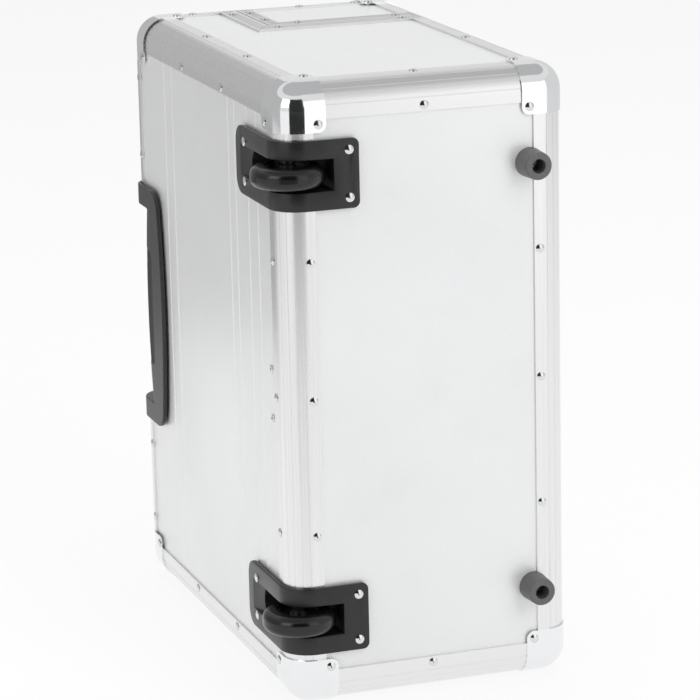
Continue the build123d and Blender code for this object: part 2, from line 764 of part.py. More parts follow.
def slot_block(z):
    """Inside of a wheel well, open to the back and to the base."""
    reach = wheel_radius
    with BuildPart() as slot:
        block((back_x - reach, base_y - reach, z - slot_height / 2),
              (back_x + slot_reach_x, base_y + slot_reach_y, z + slot_height / 2))
        fillet(slot.edges().filter_by(Axis.X).group_by(Axis.Y)[-1], slot_end_round)
    return slot.part


# Wheels in their housings
for side, z in zip(("upper", "lower"), wheel_heights):
    save(wheel_housing(z), f"wheel_housing_{side}")

    with BuildPart() as tyre:
        with BuildSketch(Plane.XY.offset(z - wheel_width / 2)):
            with Locations((wheel_x, wheel_y)):
                Circle(wheel_radius)
                Circle(tyre_bore_radius, mode=Mode.SUBTRACT)
        extrude(amount=wheel_width)
        fillet(tyre.edges().filter_by(GeomType.CIRCLE).group_by(SortBy.LENGTH)[-1], tread_round)
    save(tyre, f"wheel_tyre_{side}")

    with BuildPart() as hub:
        with BuildSketch(Plane.XY.offset(z - hub_width / 2)):
            with Locations((wheel_x, wheel_y)):
                Circle(tyre_bore_radius)
        extrude(amount=hub_width)
        for face_z, up in ((z - hub_width / 2, 1), (z + hub_width / 2, -1)):
            with BuildSketch(Plane(origin=(wheel_x, wheel_y, face_z), z_dir=(0, 0, up))):
                Circle(tyre_bore_radius - 2.5)
                Circle(spacer_radius + 1.5, mode=Mode.SUBTRACT)
            extrude(amount=1.6, mode=Mode.SUBTRACT)
        with BuildSketch(Plane.XY.offset(z - wheel_width / 2)):
            with Locations((wheel_x, wheel_y)):
                Circle(spacer_radius)
        extrude(amount=wheel_width)
        with Locations((wheel_x, wheel_y, z)):
            Cylinder(axle_radius + running_gap, wheel_width + 2, mode=Mode.SUBTRACT)
    save(hub, f"wheel_hub_{side}")

with BuildPart() as wheel_axles:
    for z in wheel_heights:
        with Locations((wheel_x, wheel_y, z)):
            Cylinder(axle_radius, well_height + 1)
save(wheel_axles, "wheel_axles")

with BuildPart() as wheel_spacers:
    for z in wheel_heights:
        for up in (-1, 1):
            near = z + up * (wheel_width / 2 + end_play)
            far = z + up * slot_height / 2
            with BuildSketch(Plane.XY.offset(min(near, far))):
                with Locations((wheel_x, wheel_y)):
                    Circle(spacer_radius)
                    Circle(axle_radius, mode=Mode.SUBTRACT)
            extrude(amount=abs(far - near))
save(wheel_spacers, "wheel_spacers")

# Rubber feet, level with the wheels
with BuildPart() as rubber_feet:
    for z in foot_heights:
        with BuildSketch(Plane(origin=(foot_x, base_y + skin, z), x_dir=(1, 0, 0), z_dir=(0, -1, 0))):
            Circle(foot_radius)
        with BuildSketch(Plane(origin=(foot_x, base_y - base_stand_out, z), x_dir=(1, 0, 0),
                               z_dir=(0, -1, 0))):
            Circle(foot_end_radius)
        loft()
        rims = rubber_feet.edges().filter_by(GeomType.CIRCLE).group_by(Axis.Y)[0]
        fillet(rims.sort_by_distance((foot_x, base_y, z))[0], foot_round)
        with Locations(facing((foot_x, base_y - base_stand_out, z), (0, -1, 0))):
            Cylinder(foot_bore_radius, base_stand_out + skin - foot_floor, align=HANGING, mode=Mode.SUBTRACT)
    block((front_x - edge_leg, base_y, low_z), (front_x, base_y + skin, high_z), Mode.SUBTRACT)
    drill(foot_screws, screw_shank_radius, foot_floor)
save(rubber_feet, "rubber_feet")

foot_screw = headed_pin(screw_head_radius, screw_head_height, screw_shank_radius, foot_floor + board)
bracket_screw = headed_pin(bracket_screw_head, bracket_screw_rise, screw_shank_radius, board + inner_leg)
with BuildPart() as body_screws:
    with Locations(*foot_screws):
        add(foot_screw)
    with Locations(*bracket_screws):
        add(bracket_screw)
save(body_screws, "body_screws")

# Trolley, fixed parts
bracket_top = base_y + bracket_from_base + bracket_height
with BuildPart() as trolley_base_bracket:
    block((back_x + board_depth, base_y + bracket_from_base, mid_z - bracket_half_length),
          (tube_x + tube_size_x / 2 + 1, bracket_top, mid_z + bracket_half_length))
    drill(bracket_screws, screw_shank_radius, board + inner_leg)
save(trolley_base_bracket, "trolley_base_bracket")

with BuildPart() as trolley_outer_tubes:
    for z in tube_heights:
        add(tube(tube_x, z, tube_size_x, tube_size_z, bracket_top, top_y - skin))
save(trolley_outer_tubes, "trolley_outer_tubes")

middle_size_x = tube_size_x - 2 * (tube_wall + tube_gap)
middle_size_z = tube_size_z - 2 * (tube_wall + tube_gap)
inner_size_x = middle_size_x - 2 * (tube_wall + tube_gap)
inner_size_z = middle_size_z - 2 * (tube_wall + tube_gap)

with BuildPart() as tube_collars:
    for z in tube_heights:
        away = 1 if z > mid_z else -1
        inside_z = mid_z + away * (notch_half_length + notch_wall + 2 * joint_gap)
        outside_z = inside_z + away * collar_size_z
        block((tube_x - collar_size_x / 2, top_y - skin, min(inside_z, outside_z)),
              (tube_x + collar_size_x / 2, top_y, max(inside_z, outside_z)))
        with BuildSketch(Plane(origin=(tube_x, top_y - skin, z), x_dir=(1, 0, 0), z_dir=(0, 1, 0))):
            RectangleRounded(middle_size_x + 2 * tube_gap, middle_size_z + 2 * tube_gap,
                             middle_size_z / 2 - 0.1)
        extrude(amount=skin, mode=Mode.SUBTRACT)
    block((back_x, top_y - skin, low_z), (back_x + narrow_leg, top_y, high_z), Mode.SUBTRACT)
save(tube_collars, "tube_collars")

with BuildPart() as grip_well:
    half = notch_half_length + notch_wall
    block((back_x, notch_low - notch_wall, mid_z - half), (notch_in + notch_wall, top_y, mid_z + half))
    block((back_x - 1, notch_low, mid_z - notch_half_length),
          (notch_in, top_y + 1, mid_z + notch_half_length), Mode.SUBTRACT)
    fillet([edge for edge in grip_well.edges().filter_by(Axis.Z)
            if abs(edge.center().X - back_x) < 0.01 and abs(edge.center().Y - top_y) < 0.01], narrow_round)
save(grip_well, "grip_well")

# Trolley, moving parts
with BuildPart() as trolley_middle_tubes:
    for z in tube_heights:
        add(tube(tube_x, z, middle_size_x, middle_size_z, bracket_top + stage_step, top_y + joint_gap))
save(trolley_middle_tubes, "trolley_middle_tubes")

with BuildPart() as trolley_inner_tubes:
    for z in tube_heights:
        add(tube(tube_x, z, inner_size_x, inner_size_z, bracket_top + 2 * stage_step, top_y + arm_clearance))
save(trolley_inner_tubes, "trolley_inner_tubes")

button_x = back_x - grip_proud + grip_round
button_top = top_y - grip_top_drop
bar_in = back_x + grip_reach_in
plate_x = back_x - grip_proud
plate_in = back_x - grip_clearance
plate_low = top_y - grip_plate_reach
bar_low = button_top - grip_bar_depth


def grip_bar():
    """Bar that turns from the plate into the notch over a wide rounding, and arches along its length."""
    radius = arc_radius(arm_inner, grip_arch)
    centre_y = button_top - radius
    with BuildPart() as bar:
        with BuildSketch(Plane.XY.offset(mid_z)) as section:
            with BuildLine():
                bend = FilletPolyline((plate_x, plate_low + 10), (plate_x, button_top), (bar_in, button_top),
                                      radius=grip_round)
                Polyline(bend @ 1, (bar_in, bar_low), (back_x + 20, bar_low), (back_x + 6, bar_low - 7.5),
                         (plate_in, bar_low - 10), (plate_in, plate_low + 10), bend @ 0)
            make_face()
        for turn in (12, -12):
            revolve(section.sketch, axis=Axis((0, centre_y, mid_z), (1, 0, 0)), revolution_arc=turn)
        block((plate_x - 1, plate_low - grip_plate_reach, mid_z - arm_inner - 2.5),
              (bar_in + 1, top_y, mid_z + arm_inner + 2.5), Mode.INTERSECT)
    return bar.part


def grip_arm(side):
    """Arm that climbs over the edge to a tube, with the cheek that joins it to the bar in the notch."""
    near = mid_z + side * arm_inner
    far = mid_z + side * grip_half_length
    cheek = mid_z + side * (arm_inner + 2.5)
    inner = mid_z + side * (arm_inner - 2.0)
    cheek_low = bar_low - grip_arch
    with BuildPart() as arm:
        with BuildSketch(Plane.XY.offset(min(near, far))):
            with BuildLine():
                bend = FilletPolyline((plate_x, plate_low + grip_flat), (plate_x, top_y + arm_rise),
                                      (back_x + arm_reach_in, top_y + arm_rise), radius=arm_round)
                inside = FilletPolyline((back_x + arm_reach_in, top_y + arm_clearance),
                                        (plate_in, top_y + arm_clearance), (plate_in, plate_low + grip_flat),
                                        radius=narrow_round)
                Line(bend @ 1, inside @ 0)
                Line(inside @ 1, bend @ 0)
            make_face()
        extrude(amount=abs(far - near))
        with BuildSketch(Plane.XY.offset(min(inner, cheek))):
            with BuildLine():
                bend = FilletPolyline((plate_x, plate_low + 10), (plate_x, top_y + arm_rise),
                                      (back_x + arm_reach_in, top_y + arm_rise), radius=arm_round)
                Polyline(bend @ 1, (back_x + arm_reach_in, top_y + arm_clearance),
                         (bar_in, top_y + arm_clearance), (bar_in, cheek_low), (back_x + 20, cheek_low),
                         (back_x + 6, cheek_low - 7.5), (plate_in, cheek_low - 9.5),
                         (plate_in, plate_low + 10), bend @ 0)
            make_face()
        extrude(amount=abs(cheek - inner))
    return arm.part


def finger_scoop():
    """Recess for the fingers: a step at its lower side, and a hollow that runs out on the rounding."""
    step_x = plate_x + finger_scoop_step
    low = top_y - finger_scoop_low
    high = top_y - finger_scoop_top
    with BuildPart() as scoop:
        with BuildSketch(Plane.XY.offset(mid_z - finger_scoop_half_length)):
            with BuildLine():
                hollow = ThreePointArc((step_x, low), (plate_x + finger_scoop_depth, (low + high) / 2),
                                       (step_x + 0.7, high))
                Polyline(hollow @ 1, (plate_x - 4, high), (plate_x - 4, low), hollow @ 0)
            make_face()
        extrude(amount=2 * finger_scoop_half_length)
        fillet(scoop.edges().filter_by(Axis.X).group_by(Axis.Y)[0], finger_scoop_round)
    return scoop.part


with BuildPart() as trolley_grip:
    # Flat plate on the back face, whose lower side bows out and whose ends are rounded
    with BuildSketch(Plane(origin=(plate_x, plate_low, mid_z), x_dir=(0, 1, 0), z_dir=(1, 0, 0))) as plate:
        with BuildLine():
            ThreePointArc((0, -grip_half_length), (-grip_plate_bow, 0), (0, grip_half_length))
            Polyline((0, grip_half_length), (grip_flat, grip_half_length), (grip_flat, -grip_half_length),
                     (0, -grip_half_length))
        make_face()
        fillet(plate.vertices().group_by(Axis.X)[0], grip_end_round)
    extrude(amount=grip_proud - grip_clearance)
    for side in (-1, 1):
        add(grip_arm(side))
    add(grip_bar())
    add(finger_scoop(), mode=Mode.SUBTRACT)
    # Pocket for the release button
    block((button_x - button_width / 2, button_top - button_travel - 4.5, mid_z - button_half_length),
          (button_x + button_width / 2, button_top + 1, mid_z + button_half_length), Mode.SUBTRACT)
    # Spigots inside the tubes
    for z in tube_heights:
        with BuildSketch(Plane(origin=(tube_x, top_y + arm_clearance - spigot_length, z), x_dir=(1, 0, 0),
                               z_dir=(0, 1, 0))):
            RectangleRounded(inner_size_x - 2 * (tube_wall + spigot_gap),
                             inner_size_z - 2 * (tube_wall + spigot_gap),
                             inner_size_z / 2 - tube_wall - 2 * spigot_gap)
        extrude(amount=spigot_length)
save(trolley_grip, "trolley_grip")

with BuildPart() as release_button:
    block((button_x - button_width / 2 + button_slide_gap, button_top - 4.0,
           mid_z - button_half_length + button_slide_gap),
          (button_x + button_width / 2 - button_slide_gap, button_top + button_proud,
           mid_z + button_half_length - button_slide_gap))
    fillet(release_button.edges().filter_by(Axis.Y), 3.0)
    fillet(release_button.faces().sort_by(Axis.Y)[-1].edges(), 0.7)
save(release_button, "release_button")

# Hinge
knuckles = {"body": [], "lid": []}
for index in range(knuckle_count):
    low = mid_z - hinge_length / 2 + index * knuckle_pitch + knuckle_gap / 2
    knuckles["body" if index % 2 == 0 else "lid"].append((low, low + knuckle_pitch - knuckle_gap))

for name, owner, side, seats in (("hinge_body_leaf", "body", -1, hinge_body_rivets),
                                 ("hinge_lid_leaf", "lid", 1, hinge_lid_rivets)):
    near = hinge_x + side * (knuckle_radius + leaf_clearance)
    far = hinge_x + side * leaf_width
    with BuildPart() as leaf:
        block((min(near, far), top_y, mid_z - hinge_length / 2),
              (max(near, far), top_y + leaf_wall, mid_z + hinge_length / 2))
        for low, high in knuckles[owner]:
            with Locations((hinge_x, hinge_y, low)):
                Cylinder(knuckle_radius, high - low, align=STANDING)
            block((min(hinge_x, near), top_y, low), (max(hinge_x, near), top_y + leaf_wall, high))
        with Locations((hinge_x, hinge_y, mid_z)):
            Cylinder(knuckle_bore, hinge_length, mode=Mode.SUBTRACT)
        drill(seats, rivet_shank_radius, board_depth)
    save(leaf, name)

with BuildPart() as hinge_pin:
    with Locations((hinge_x, hinge_y, mid_z)):
        Cylinder(knuckle_bore - running_gap, hinge_length)
save(hinge_pin, "hinge_pin")

# Latches
latch_top = seam_y - latch_below_seam
latch_low = latch_top - latch_height
bolt_y = latch_top - bolt_drop
slide_y = latch_top - slide_drop
hasp_x = front_x + hasp_axis_out
hasp_y = lid_y + hasp_axis_rise
cover_x = front_x + latch_proud + hasp_cover_gap
for side, z in zip(("upper", "lower"), latch_heights):
    key_z = z - key_side
    rest_z = z + catch_width / 2 + 3.0
    with BuildPart() as latch_case:
        block((front_x, latch_low, z - latch_width / 2),
              (front_x + latch_proud, latch_top, z + latch_width / 2))
        fillet(latch_case.edges().filter_by(Axis.X), latch_round * 2)
        fillet(latch_case.faces().sort_by(Axis.X)[-1].edges(), latch_round)
        block((front_x - skin, latch_low + latch_round, z - latch_width / 2 + latch_round * 2),
              (front_x, seam_y - body_band - joint_gap, z + latch_width / 2 - latch_round * 2))
        block((front_x + 1, latch_top - catch_depth, z - catch_width / 2),
              (front_x + latch_proud + 1, latch_top + 1, z + catch_width / 2), Mode.SUBTRACT)
        block((front_x + cavity_floor, slide_y - 3, z + catch_width / 2 + 1.5),
              (front_x + latch_proud - cavity_roof, bolt_y + 3, z + latch_width / 2 - 2), Mode.SUBTRACT)
        with Locations(Location((front_x + bolt_back, bolt_y, z - catch_width / 2 - 2.5))):
            Cylinder(bolt_radius + running_gap, latch_width / 2, align=STANDING, mode=Mode.SUBTRACT)
        block((front_x + cavity_floor, slide_y - 1.4, z + catch_width / 2 + 1.5),
              (front_x + latch_proud + 1, slide_y + 1.4, z + latch_width / 2 - 3), Mode.SUBTRACT)
        with Locations(Plane(origin=(front_x + 1, slide_y, key_z), z_dir=(1, 0, 0))):
            Cylinder(key_radius + running_gap, latch_proud, align=STANDING, mode=Mode.SUBTRACT)
    save(latch_case, f"latch_case_{side}")

    with BuildPart() as latch_slide:
        with Locations((front_x + bolt_back, bolt_y, rest_z)):
            Cylinder(bolt_radius, 10.0, align=STANDING)
        block((front_x + bolt_back - 1.2, slide_y - 1.2, rest_z + 8.0),
              (front_x + bolt_back + 1.2, bolt_y + 1.2, rest_z + 11.0))
        block((front_x + bolt_back - 1.2, slide_y - 1.2, rest_z + 8.0),
              (front_x + latch_proud + 0.3, slide_y + 1.2, rest_z + 11.0))
        block((front_x + latch_proud + 0.3, slide_y - slide_button / 2, rest_z + 9.5 - slide_button / 2),
              (front_x + latch_proud + slide_button_rise, slide_y + slide_button / 2,
               rest_z + 9.5 + slide_button / 2))
        thumb = latch_slide.faces().sort_by(Axis.X)[-1]
        fillet(thumb.edges(), 0.9)
        for step in (-2, 0, 2):
            block((front_x + latch_proud + slide_button_rise - 0.5, slide_y - 2.6, rest_z + 9.5 + step - 0.4),
                  (front_x + latch_proud + slide_button_rise + 1, slide_y + 2.6, rest_z + 9.5 + step + 0.4),
                  Mode.SUBTRACT)
    save(latch_slide, f"latch_slide_{side}")

    with BuildPart() as key_barrel:
        with Locations(Plane(origin=(front_x + 1, slide_y, key_z), z_dir=(1, 0, 0))):
            Cylinder(key_radius, latch_proud - 1 + key_proud, align=STANDING)
        chamfer(key_barrel.edges().group_by(Axis.X)[-1], 0.6)
        block((front_x + latch_proud - 4, slide_y - key_slot_length / 2, key_z - key_slot_width / 2),
              (front_x + latch_proud + 2, slide_y + key_slot_length / 2, key_z + key_slot_width / 2),
              Mode.SUBTRACT)
    save(key_barrel, f"key_barrel_{side}")

    with BuildPart() as hasp:
        with Locations((hasp_x, hasp_y, z)):
            Cylinder(hasp_knuckle_radius, 2 * hasp_knuckle_half)
        block((cover_x, hasp_y - hasp_drop, z - hasp_half_width),
              (cover_x + hasp_wall, hasp_y - hasp_knuckle_radius - 1, z + hasp_half_width))
        fillet(hasp.edges().filter_by(Axis.X).group_by(Axis.Y)[0], 3.0)
        block((cover_x, hasp_y - hasp_knuckle_radius - 1, z - hasp_knuckle_half),
              (cover_x + hasp_wall, hasp_y, z + hasp_knuckle_half))
        block((front_x + 1.8, bolt_y - staple_height / 2, z - staple_width / 2),
              (cover_x, bolt_y + staple_height / 2, z + staple_width / 2))
        with Locations((front_x + bolt_back, bolt_y, z)):
            Cylinder(staple_bore, staple_width + 2, mode=Mode.SUBTRACT)
        with Locations((hasp_x, hasp_y, z)):
            Cylinder(hasp_pin_radius + running_gap, 2 * hasp_mount_half, mode=Mode.SUBTRACT)
    save(hasp, f"hasp_{side}")

with BuildPart() as hasp_mounts:
    for z in latch_heights:
        block((front_x, lid_y + 2.0, z - hasp_mount_half),
              (front_x + hasp_wall, hasp_y + hasp_knuckle_radius, z + hasp_mount_half))
        for up in (-1, 1):
            near = z + up * (hasp_knuckle_half + knuckle_gap)
            far = z + up * hasp_mount_half
            with Locations((hasp_x, hasp_y, min(near, far))):
                Cylinder(hasp_knuckle_radius, abs(far - near), align=STANDING)
            block((front_x, hasp_y - hasp_knuckle_radius, min(near, far)),
                  (hasp_x, hasp_y + hasp_knuckle_radius, max(near, far)))
        with Locations((hasp_x, hasp_y, z)):
            Cylinder(hasp_pin_radius, 2 * hasp_mount_half)
save(hasp_mounts, "hasp_mounts")

# Lining of the body and the divider
well_top = base_y + slot_reach_y + well_wall
with BuildPart() as body_lining:
    inside_low = low_z + lined_depth
    inside_high = high_z - lined_depth
    block((false_wall_x, base_y + lined_depth, inside_low),
          (false_wall_front, top_y - lined_depth, inside_high))
    block((false_wall_front + sheet_gap, base_y + wall_depth, inside_low),
          (front_x - lined_depth, base_y + lined_depth, inside_high))
    block((front_x - lined_depth, base_y + lined_depth + sheet_gap, inside_low),
          (front_x - wall_depth, seam_y - body_band - 2, inside_high))
    for end, inward in ends:
        outer_z = end + inward * wall_depth
        inner_z = end + inward * (lined_depth - sheet_gap)
        block((false_wall_x, base_y + lined_depth, min(outer_z, inner_z)),
              (front_x - lined_depth, seam_y - body_band - 2, max(outer_z, inner_z)))
    for z in wheel_heights:
        half = well_height / 2 + 2 * joint_gap
        block((back_x, base_y, z - half),
              (back_x + slot_reach_x + well_wall + 2 * joint_gap, well_top + 2 * joint_gap, z + half),
              Mode.SUBTRACT)
save(body_lining, "body_lining")

with BuildPart() as divider:
    block((false_wall_front + divider_gap, base_y + lined_depth + divider_gap, mid_z + divider_above_middle),
          (front_x - lined_depth - divider_gap, seam_y - body_band,
           mid_z + divider_above_middle + divider_wall))
    fillet(divider.edges().filter_by(Axis.Z).group_by(Axis.Y)[-1], 8.0)
save(divider, "divider")

# Lid
with BuildPart() as lid_top_panel:
    block((lid_x + rim_web + 3, top_y - board_depth, low_z + edge_round),
          (front_x - edge_round, top_y - skin, high_z - edge_round))
    drill(lid_edge_rivets + hinge_lid_rivets, rivet_shank_radius, board_depth)
    drill(lid_cap_seats_all, rivet_shank_radius, board_depth + cap_wall)
save(lid_top_panel, "lid_top_panel")

with BuildPart() as lid_front_panel:
    block((front_x - board_depth, lid_y + rim_web + 3, low_z + edge_round),
          (front_x - skin, top_y - edge_round, high_z - edge_round))
    drill(lid_edge_rivets + lid_rim_rivets, rivet_shank_radius, board_depth)
    drill(lid_cap_seats_all, rivet_shank_radius, board_depth + cap_wall)
save(lid_front_panel, "lid_front_panel")

with BuildPart() as lid_end_panels:
    for end, inward in ends:
        outer_z = end + inward * skin
        inner_z = end + inward * board_depth
        block((lid_x + rim_web + 3, lid_y + rim_web + 3, min(outer_z, inner_z)),
              (front_x - edge_round, top_y - edge_round, max(outer_z, inner_z)))
    drill(lid_edge_rivets + lid_rim_rivets, rivet_shank_radius, board_depth)
    drill(lid_cap_seats_all, rivet_shank_radius, board_depth + cap_wall)
save(lid_end_panels, "lid_end_panels")

with BuildPart() as lid_edges:
    add(edge_extrusion((front_x, top_y, low_z + edge_stop), (0, 0, 1), (-1, 0, 0), (0, -1, 0), run_length))
    for end, inward in ends:
        up = (0, 0, inward)
        add(edge_extrusion((lid_x + lid_band + joint_gap, top_y, end), (1, 0, 0), (0, -1, 0), up,
                           front_x - edge_stop - lid_x - lid_band - joint_gap))
        add(edge_extrusion((front_x, lid_y + lid_band + joint_gap, end), (0, 1, 0), (-1, 0, 0), up,
                           top_y - edge_stop - lid_y - lid_band - joint_gap))
    drill(lid_edge_rivets, rivet_shank_radius, board_depth)
save(lid_edges, "lid_edges")

level_leg, upright_leg = rim_set(lid_x, lid_y, 1, lid_band, lid_band, True)
with BuildPart() as lid_rim:
    add(level_leg)
    add(upright_leg)
    drill(lid_rim_rivets + hinge_lid_rivets, rivet_shank_radius, board_depth)
save(lid_rim, "lid_rim")

with BuildPart() as lid_corner_caps:
    for end, inward in ends:
        with Locations(corner_plane(front_x, top_y, end)):
            add(cap)
        drill(lid_cap_seats[(front_x, top_y, end)], rivet_shank_radius, 2 * cap_wall)
save(lid_corner_caps, "lid_corner_caps")

with BuildPart() as lid_cap_rivets:
    with Locations(*lid_cap_seats_all):
        add(rivet)
save(lid_cap_rivets, "lid_cap_rivets")

with BuildPart() as lid_rivets:
    with Locations(*lid_rim_rivets, *lid_edge_rivets, *hinge_lid_rivets):
        add(rivet)
save(lid_rivets, "lid_rivets")

with BuildPart() as lid_lining:
    near_x = lid_x + lid_band + 2
    near_y = lid_y + lid_band + 2
    block((near_x, top_y - lined_depth, low_z + lined_depth),
          (front_x - lined_depth, top_y - wall_depth, high_z - lined_depth))
    block((front_x - lined_depth, near_y, low_z + lined_depth),
          (front_x - wall_depth, top_y - lined_depth - sheet_gap, high_z - lined_depth))
    for end, inward in ends:
        outer_z = end + inward * wall_depth
        inner_z = end + inward * (lined_depth - sheet_gap)
        block((near_x, near_y, min(outer_z, inner_z)),
              (front_x - lined_depth, top_y - lined_depth, max(outer_z, inner_z)))
save(lid_lining, "lid_lining")

# Carry handle on the lid, folded down
pivot_x = lid_x + handle_pivot_from_seam
pivot_y = top_y + handle_lift + handle_thick / 2
with BuildPart() as carry_handle:
    with BuildSketch(Plane(origin=(pivot_x, top_y + handle_lift, mid_z), x_dir=(1, 0, 0), z_dir=(0, 1, 0))):
        with Locations((handle_swing / 2, 0)):
            RectangleRounded(handle_swing + handle_thick, 2 * handle_half_length, handle_thick / 2)
        with Locations(((handle_swing + handle_thick / 2 - handle_bar) / 2 - handle_thick / 2, 0)):
            Rectangle(handle_swing + handle_thick / 2 - handle_bar + handle_thick,
                      2 * (handle_half_length - handle_arm), mode=Mode.SUBTRACT)
    extrude(amount=handle_thick)
    fillet(carry_handle.faces().filter_by(Axis.Y).edges(), handle_round)
    with Locations((pivot_x, pivot_y, mid_z)):
        Cylinder(handle_pin_radius + running_gap, 3 * handle_half_length, mode=Mode.SUBTRACT)
save(carry_handle, "carry_handle")

with BuildPart() as handle_brackets:
    for up in (-1, 1):
        ear_near = mid_z + up * (handle_half_length + bracket_ear_gap)
        ear_far = ear_near + up * bracket_ear
        base_far = ear_far + up * bracket_tail
        block((pivot_x - bracket_width / 2, top_y - skin, min(ear_near, base_far)),
              (pivot_x + bracket_width / 2, top_y - skin + bracket_wall, max(ear_near, base_far)))
        with BuildSketch(Plane(origin=(pivot_x, pivot_y, min(ear_near, ear_far)), z_dir=(0, 0, 1))):
            Circle(handle_thick / 2)
            with Locations((0, (top_y - skin - pivot_y) / 2)):
                Rectangle(handle_thick, pivot_y - top_y + skin)
        extrude(amount=bracket_ear)
        with Locations((pivot_x, pivot_y, (ear_near + ear_far) / 2)):
            Cylinder(handle_pin_radius, bracket_ear + 2, mode=Mode.SUBTRACT)
save(handle_brackets, "handle_brackets")

with BuildPart() as handle_pins:
    for up in (-1, 1):
        inside = mid_z + up * (handle_half_length - handle_arm)
        outside = mid_z + up * (handle_half_length + bracket_ear_gap + bracket_ear)
        with Locations((pivot_x, pivot_y, min(inside, outside))):
            Cylinder(handle_pin_radius, abs(outside - inside), align=STANDING)
save(handle_pins, "handle_pins")
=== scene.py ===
"""Looks of a trolley pilot case that stands on its end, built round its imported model."""

from __future__ import annotations

import logging
import math
from dataclasses import dataclass, field
from enum import Enum

import bmesh
import bpy
from mathutils import Matrix, Vector

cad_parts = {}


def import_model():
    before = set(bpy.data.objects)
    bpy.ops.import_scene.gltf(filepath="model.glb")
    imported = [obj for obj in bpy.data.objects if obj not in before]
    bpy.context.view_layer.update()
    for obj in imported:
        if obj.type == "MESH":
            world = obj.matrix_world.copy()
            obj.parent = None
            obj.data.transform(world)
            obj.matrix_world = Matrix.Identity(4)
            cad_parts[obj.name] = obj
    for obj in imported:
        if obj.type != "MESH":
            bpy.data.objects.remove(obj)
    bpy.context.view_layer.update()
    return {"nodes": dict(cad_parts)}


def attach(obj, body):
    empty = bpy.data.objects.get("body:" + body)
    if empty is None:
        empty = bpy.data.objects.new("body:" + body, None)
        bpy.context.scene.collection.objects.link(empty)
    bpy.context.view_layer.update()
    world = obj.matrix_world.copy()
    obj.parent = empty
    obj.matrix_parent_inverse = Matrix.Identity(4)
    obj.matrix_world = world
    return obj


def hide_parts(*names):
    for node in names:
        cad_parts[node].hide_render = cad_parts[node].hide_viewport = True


LOG = logging.getLogger("pilot_case")
MM = 0.001

BACK_X, FRONT_X = -109.95 * MM, 118.05 * MM
BASE_Y, TOP_Y = -190.15 * MM, 194.85 * MM
LOW_Z, HIGH_Z = 2.6 * MM, 482.6 * MM
MID_Z = (LOW_Z + HIGH_Z) / 2
SEAM_X, SEAM_Y = -25.95 * MM, 86.35 * MM
SEAM_GAP = 0.8 * MM
EDGE_ROUND = 20.0 * MM
EDGE_LEG = 27.5 * MM
MERGE = 0.002 * MM

Colour = tuple[float, float, float, float]


class Run(Enum):
    """Which way the drawn grain of a metal runs."""

    ALONG_X = "x"
    ALONG_Y = "y"
    ALONG_Z = "z"
    ROUND_THE_END = "end"


def grey(level: float, cool: float = 0.0) -> Colour:
    """A neutral colour.

    Args:
        level: its brightness.
        cool: how far it leans to blue, or to red where negative.

    Returns:
        The colour with full alpha.
    """
    return (level * (1 - cool), level, level * (1 + cool), 1.0)


def toned(colour: Colour, factor: float, lift: float = 0.0) -> Colour:
    """A lighter or darker tone of a colour.

    Args:
        colour: the colour to start from.
        factor: what its parts are multiplied by.
        lift: what is then added to them.

    Returns:
        The tone with full alpha.
    """
    return tuple(part * factor + lift for part in colour[:3]) + (1.0,)


